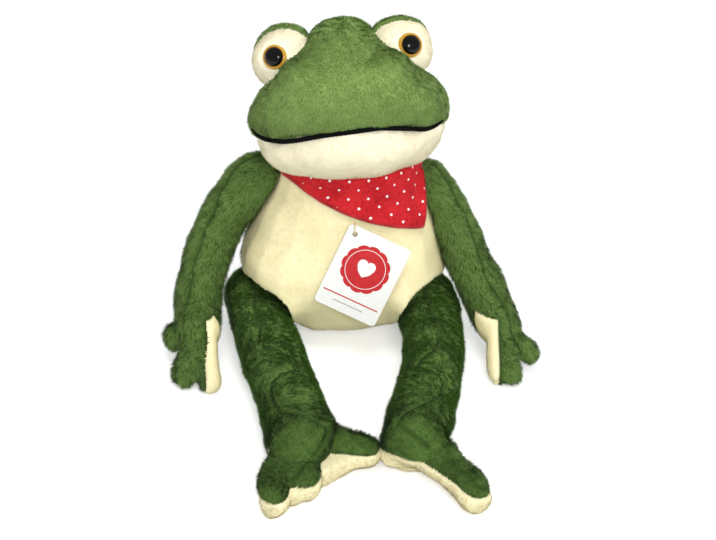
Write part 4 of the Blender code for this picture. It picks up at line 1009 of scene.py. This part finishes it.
def make_knot():
    """The reef knot at the nape: a creased lump and two pointed tails."""
    solid = corners("neckerchief_knot")
    low, high = solid.min(axis=0), solid.max(axis=0)
    middle = Vector(((low[0] + high[0]) / 2, low[1] + 0.0045, high[2] - 0.0062))
    bm = bmesh.new()
    bmesh.ops.create_uvsphere(bm, u_segments=56, v_segments=36, radius=1)
    for vertex in bm.verts:
        x, y, z = vertex.co
        crease = 1 - 0.16 * math.exp(-((x + 0.25 * z) / 0.16) ** 2)
        crease *= 1 - 0.10 * math.exp(-((abs(x) - 0.62 + 0.2 * z) / 0.10) ** 2)
        crease *= 1 + 0.05 * math.sin(9 * math.atan2(z, x))
        vertex.co = Vector(np.multiply((x, y, z), KNOT_SIZE)) * crease + middle
    mesh = bpy.data.meshes.new("neckerchief_tie")
    uv = bm.loops.layers.uv.new("cloth")
    for face in bm.faces:
        face.smooth = True
        for loop in face.loops:
            loop[uv].uv = (loop.vert.co.x, loop.vert.co.z)
    for sign in (-1, 1):
        columns, rows = TAIL_GRID
        root = middle + Vector((sign * 0.006, 0.0012, -0.0005))
        grid = []
        for i in range(columns):
            t = i / (columns - 1)
            half = 0.0022 + 0.0050 * math.sin(math.pi * min(1, t * 0.78)) ** 1.2
            if t > 0.8:
                half *= max(0.12, (1 - t) / 0.2)
            path = root + Vector((sign * TAIL_LENGTH * t,
                                  TAIL_OUT * t + 0.0012 * math.sin(5 * t),
                                  -TAIL_DROP * t ** 1.3))
            line = []
            for j in range(rows):
                w = 2 * j / (rows - 1) - 1
                fold = 0.0009 * math.cos(3.2 * w + 2 * t) * (1 - 0.5 * t)
                line.append(bm.verts.new(path + Vector((sign * 0.25 * w * half, fold, w * half))))
            grid.append(line)
        for i in range(columns - 1):
            for j in range(rows - 1):
                quad = (grid[i][j], grid[i][j + 1], grid[i + 1][j + 1], grid[i + 1][j])
                face = bm.faces.new(quad if sign < 0 else quad[::-1])
                face.smooth = True
                for loop in face.loops:
                    loop[uv].uv = (loop.vert.co.x, loop.vert.co.z)
    bm.to_mesh(mesh)
    bm.free()
    mesh.materials.append(MATERIALS["cloth"])
    tie = new_object("neckerchief_tie", mesh)
    thicken(tie)
    return tie


cloth, cloth_edge = make_neckerchief()
hem = make_hem(cloth_edge)
tie = make_knot()

# Torso

soft_body("torso", {
    "belly_panel": ("belly_plush", "cream", CREAM_PILE, "cream_plush", ["torso_filling"]),
    "back_panel": ("back_plush", "limb", LONG_PILE, "green_plush", []),
}, ["torso_filling"], laid([0.0, -0.15, -1.0]), short_near=[(cloth.data, 0.12, 0.005)])
for piece in (cloth, hem, tie):
    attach(piece, "torso")
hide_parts("neckerchief")
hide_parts("neckerchief_knot")

# Eyes

IRIS_TONE_RADIUS = 0.0088
# radius and height of the iris ring's section, from its outer face round to its bore
IRIS_RING = [(0.0060, 0.0030), (0.0066, 0.0033), (0.0073, 0.0031), (0.0079, 0.0026),
             (0.0083, 0.0019), (0.0085, 0.0010), (0.0084, 0.0002), (0.0078, 0.0000),
             (0.0026, 0.0000), (0.0026, 0.0018), (0.0060, 0.0020), (0.0060, 0.0030)]
PUPIL_RADIUS = 0.0064
PUPIL_BASE = 0.0028
PUPIL_RISE = 0.0034
PUPIL_STEPS = 14
# the pupil's back and its post
PUPIL_POST = [(0.0062, 0.0024), (0.0022, 0.0022), (0.0022, -0.0070), (0.0, -0.0070)]


def lathe(name, profile, frame, turns=96):
    """A turned piece about the frame's Z, with its radius kept for its material."""
    points, radius = [], []
    for k in range(turns):
        turn = 2 * math.pi * k / turns
        for x, z in profile:
            points.append(frame @ Vector((x * math.cos(turn), x * math.sin(turn), z)))
            radius.append(x)
    mesh = mesh_of(name, points, grid_faces(turns, len(profile)))
    mesh.attributes.new("radius", "FLOAT", "POINT").data.foreach_set("value", radius)
    bm = bmesh.new()
    bm.from_mesh(mesh)
    bmesh.ops.remove_doubles(bm, verts=bm.verts, dist=1e-6)
    bmesh.ops.recalc_face_normals(bm, faces=bm.faces)
    bm.to_mesh(mesh)
    bm.free()
    mesh.shade_smooth()
    mesh.set_sharp_from_angle(angle=math.radians(40))
    return new_object(name, mesh)


def eye_gloss(shader):
    return shader.set(Roughness=0.08, Specular_IOR_Level=0.25)


def iris_material():
    shader = eye_gloss(Shader("amber_iris"))
    radius = shader.times(shader.attribute("radius"), 1 / IRIS_TONE_RADIUS)
    streaks = shader.noise(shader.coordinates(), 900, 4.0, 0.7)
    place = shader.add(radius, shader.times(shader.minus(streaks, 0.5), 0.10))
    shader.colour(shader.ramp(place, [(0.72, AMBERS[0]), (0.79, AMBERS[1]), (0.90, AMBERS[2]),
                                      (1.0, AMBERS[2])]))
    return shader.material


def pupil_material():
    shader = eye_gloss(Shader("black_pupil"))
    depth = shader.noise(shader.coordinates(), 300, 2.0)
    shader.colour(shader.two_tones(depth, PUPIL_BLACKS))
    return shader.material


dome = [(PUPIL_RADIUS * math.sin(math.pi / 2 * k / PUPIL_STEPS),
         PUPIL_BASE + PUPIL_RISE * math.cos(math.pi / 2 * k / PUPIL_STEPS))
        for k in range(PUPIL_STEPS + 1)]
LENSES = (("iris", IRIS_RING, iris_material(), "amber_eye"),
          ("pupil", dome + PUPIL_POST, pupil_material(), "black_eye"))
for side in SIDES:
    for name, profile, material, slot in LENSES:
        piece = lathe(f"{side}_{name}_lens", profile, EYE_AXES[side])
        piece.data.materials.append(material)
        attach(piece, "head")
        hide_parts(f"{side}_eye_{name}")

# Mouth

def yarn_material():
    shader = Shader("black_yarn").set(Roughness=0.9, Specular_IOR_Level=0.08)
    where = shader.coordinates()
    fibre = shader.noise(where, 1400, 3.0)
    shader.colour(shader.two_tones(fibre, YARN_BLACKS, end=0.75))
    shader.bump(fibre, 0.6, 0.0003)
    return shader.material


def dress(name, material):
    """Gives a node of the solid model its material."""
    node = bpy.data.objects[name]
    node.data.materials.clear()
    node.data.materials.append(material)


mouth.data.materials.append(yarn_material())
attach(mouth, "head")
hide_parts("mouth_cord")

# Hang tag

TAG_TURN = math.radians(25.5)
# the print, in millimetres from the middle of the card
MM_PER_M = 1000
SEAL_HEIGHT = 4.5
SEAL_RADIUS = 15.9
SEAL_SCALLOPS = 12
SEAL_SCALLOP_DEPTH = 1.5
RING_RADIUS = 13.9
RING_HALF_WIDTH = 0.28
HEART_SIZE = 5.6
# height from the seal, half length and half width of the red rule and the grey one
RULES = ((-23.6, 20.5, 0.55), (-28.2, 11.4, 0.40))


def tag_axes():
    """The frame of the card: origin at the middle of its face, Z out of the face."""
    card = corners("tag_card")
    middle = (card.min(axis=0) + card.max(axis=0)) / 2
    _, _, axes = np.linalg.svd(card - card.mean(axis=0))
    out = Vector(axes[2] * np.sign(-axes[2][1]))
    across = Vector((1, 0, 0))
    across = (across - out * across.dot(out)).normalized()
    up = out.cross(across)
    frame = Matrix((across, up, out)).transposed().to_4x4()
    return Matrix.Translation(Vector(middle)) @ frame @ Matrix.Rotation(-TAG_TURN, 4, "Z")


def card_material(frame):
    """White card with a printed scalloped seal, a small heart in it and two rules below."""
    shader = Shader("printed_card").set(Roughness=0.42, Specular_IOR_Level=0.4, Coat_Weight=0.15)
    where = shader.coordinates()
    flat = shader.node("ShaderNodeMapping", vector_type="TEXTURE")
    flat.inputs["Location"].default_value = frame.translation
    flat.inputs["Rotation"].default_value = frame.to_euler()
    shader.link(where, flat.inputs["Vector"])
    parts = shader.node("ShaderNodeSeparateXYZ")
    shader.link(flat.outputs[0], parts.inputs[0])
    x = shader.times(parts.outputs["X"], MM_PER_M)
    y = shader.minus(shader.times(parts.outputs["Y"], MM_PER_M), SEAL_HEIGHT)
    radius = shader.math("SQRT", shader.add(shader.times(x, x), shader.times(y, y)), 0)
    turns = shader.times(shader.math("ARCTAN2", y, x), SEAL_SCALLOPS / 2)
    lobe = shader.math("SQRT", shader.size_of(shader.math("COSINE", turns, 0)), 0)
    scallop = shader.add(shader.times(lobe, SEAL_SCALLOP_DEPTH), SEAL_RADIUS)
    inside = shader.times(shader.minus(scallop, radius), 4.0, clamp=True)
    ring = shader.size_of(shader.minus(radius, RING_RADIUS))
    ring = shader.times(shader.minus(RING_HALF_WIDTH, ring), 8.0, clamp=True)
    hx = shader.times(x, 1 / HEART_SIZE)
    hy = shader.add(shader.times(y, 1 / HEART_SIZE), 0.12)
    xx = shader.times(hx, hx)
    yy = shader.times(hy, hy)
    core = shader.minus(shader.add(xx, yy), 1.0)
    cube = shader.times(shader.times(core, core), core)
    edge = shader.times(xx, shader.times(yy, hy))
    heart = shader.times(shader.minus(edge, cube), 300.0, clamp=True)
    red = shader.minus(inside, shader.math("MAXIMUM", ring, heart), clamp=True)
    rules = []
    for place, half_length, half_width in RULES:
        down = shader.size_of(shader.minus(y, place))
        line = shader.times(shader.minus(half_width, down), 6.0, clamp=True)
        left = shader.minus(half_length, shader.size_of(x))
        rules.append(shader.times(line, shader.times(left, 6.0, clamp=True)))
    fibre = shader.noise(where, 700, 3.0)
    card = shader.two_tones(fibre, CARD_WHITES)
    ink = shader.two_tones(shader.noise(where, 400, 2.0), CARD_INKS)
    ruled = shader.mix(rules[1], card, CARD_GREY)
    shader.colour(shader.mix(shader.math("MAXIMUM", red, rules[0]), ruled, ink))
    shader.bump(fibre, 0.15, 0.0001)
    return shader.material


def gold_material():
    shader = Shader("gold_thread").set(Roughness=0.35, Metallic=0.6)
    where = shader.coordinates()
    twist = shader.noise(where, 1800, 2.0)
    shader.colour(shader.two_tones(twist, GOLDS))
    shader.bump(twist, 0.5, 0.0002)
    return shader.material


dress("tag_card", card_material(tag_axes()))
dress("tag_thread", gold_material())

# Floor, light and camera

LAMP_TARGET = Vector((0, -0.05, 0.1))
# place, size across, watts, and whether glossy faces show it
LAMPS = {
    "key": ((0.30, -1.45, 0.95), 0.5, 10.0, True),
    "right fill": ((1.2, -0.7, 0.8), 0.9, 4, False),
    "left fill": ((-1.1, -1.0, 0.6), 0.9, 2, False),
    "top": ((0.0, -0.5, 1.6), 0.9, 9.5, False),
}
WORLD_STRENGTH = 0.50
# added to the floor's own brightness where it is seen, so that it shows white
FLOOR_GLOW = 0.46
FLOOR_HALF_SIZE = 4


def soft_lamp(name, place, size, power, glints):
    lamp = bpy.data.lights.new(name, "AREA")
    lamp.shape = "DISK"
    lamp.size = size
    lamp.energy = power
    holder = bpy.data.objects.new(name, lamp)
    bpy.context.scene.collection.objects.link(holder)
    holder.location = place
    holder.visible_glossy = glints
    holder.rotation_euler = (LAMP_TARGET - Vector(place)).to_track_quat("-Z", "Y").to_euler()


def floor_material():
    """A pale floor, white to the camera and in glossy or clear faces, that takes shadows."""
    shader = Shader("pale_floor").set(Roughness=0.9)
    grain = shader.noise(shader.coordinates(), 30)
    shader.colour(shader.two_tones(grain, FLOOR_GREYS))
    light_path = shader.node("ShaderNodeLightPath")
    glow = shader.node("ShaderNodeEmission")
    glow.inputs["Strength"].default_value = FLOOR_GLOW
    both = shader.node("ShaderNodeAddShader")
    pick = shader.node("ShaderNodeMixShader")
    output = shader.tree.nodes["Material Output"]
    shader.link(shader.surface.outputs[0], both.inputs[0])
    shader.link(glow.outputs[0], both.inputs[1])
    shown = light_path.outputs["Is Camera Ray"]
    for kind in ("Is Glossy Ray", "Is Transmission Ray"):
        shown = shader.math("MAXIMUM", shown, light_path.outputs[kind])
    shader.link(shown, pick.inputs[0])
    shader.link(shader.surface.outputs[0], pick.inputs[1])
    shader.link(both.outputs[0], pick.inputs[2])
    shader.link(pick.outputs[0], output.inputs["Surface"])
    return shader.material


def set_stage():
    bm = bmesh.new()
    bmesh.ops.create_grid(bm, x_segments=1, y_segments=1, size=FLOOR_HALF_SIZE)
    mesh = bpy.data.meshes.new("floor")
    bm.to_mesh(mesh)
    bm.free()
    mesh.materials.append(floor_material())
    new_object("floor", mesh)
    world = bpy.data.worlds.new("studio")
    world.use_nodes = True
    background = world.node_tree.nodes["Background"]
    background.inputs["Color"].default_value = (1, 1, 1, 1)
    background.inputs["Strength"].default_value = WORLD_STRENGTH
    bpy.context.scene.world = world
    for name, lamp in LAMPS.items():
        soft_lamp(name, *lamp)
    bpy.context.scene.view_settings.view_transform = "Standard"


def set_camera():
    camera = bpy.data.cameras.new("camera")
    camera.lens = VIEW_LENS_MM
    holder = bpy.data.objects.new("camera", camera)
    bpy.context.scene.collection.objects.link(holder)
    back = Vector((0, -math.cos(VIEW_HEIGHT), math.sin(VIEW_HEIGHT)))
    holder.location = VIEW_TARGET + back * VIEW_DISTANCE
    holder.rotation_euler = (-back).to_track_quat("-Z", "Y").to_euler()
    bpy.context.scene.camera = holder


set_stage()
set_camera()
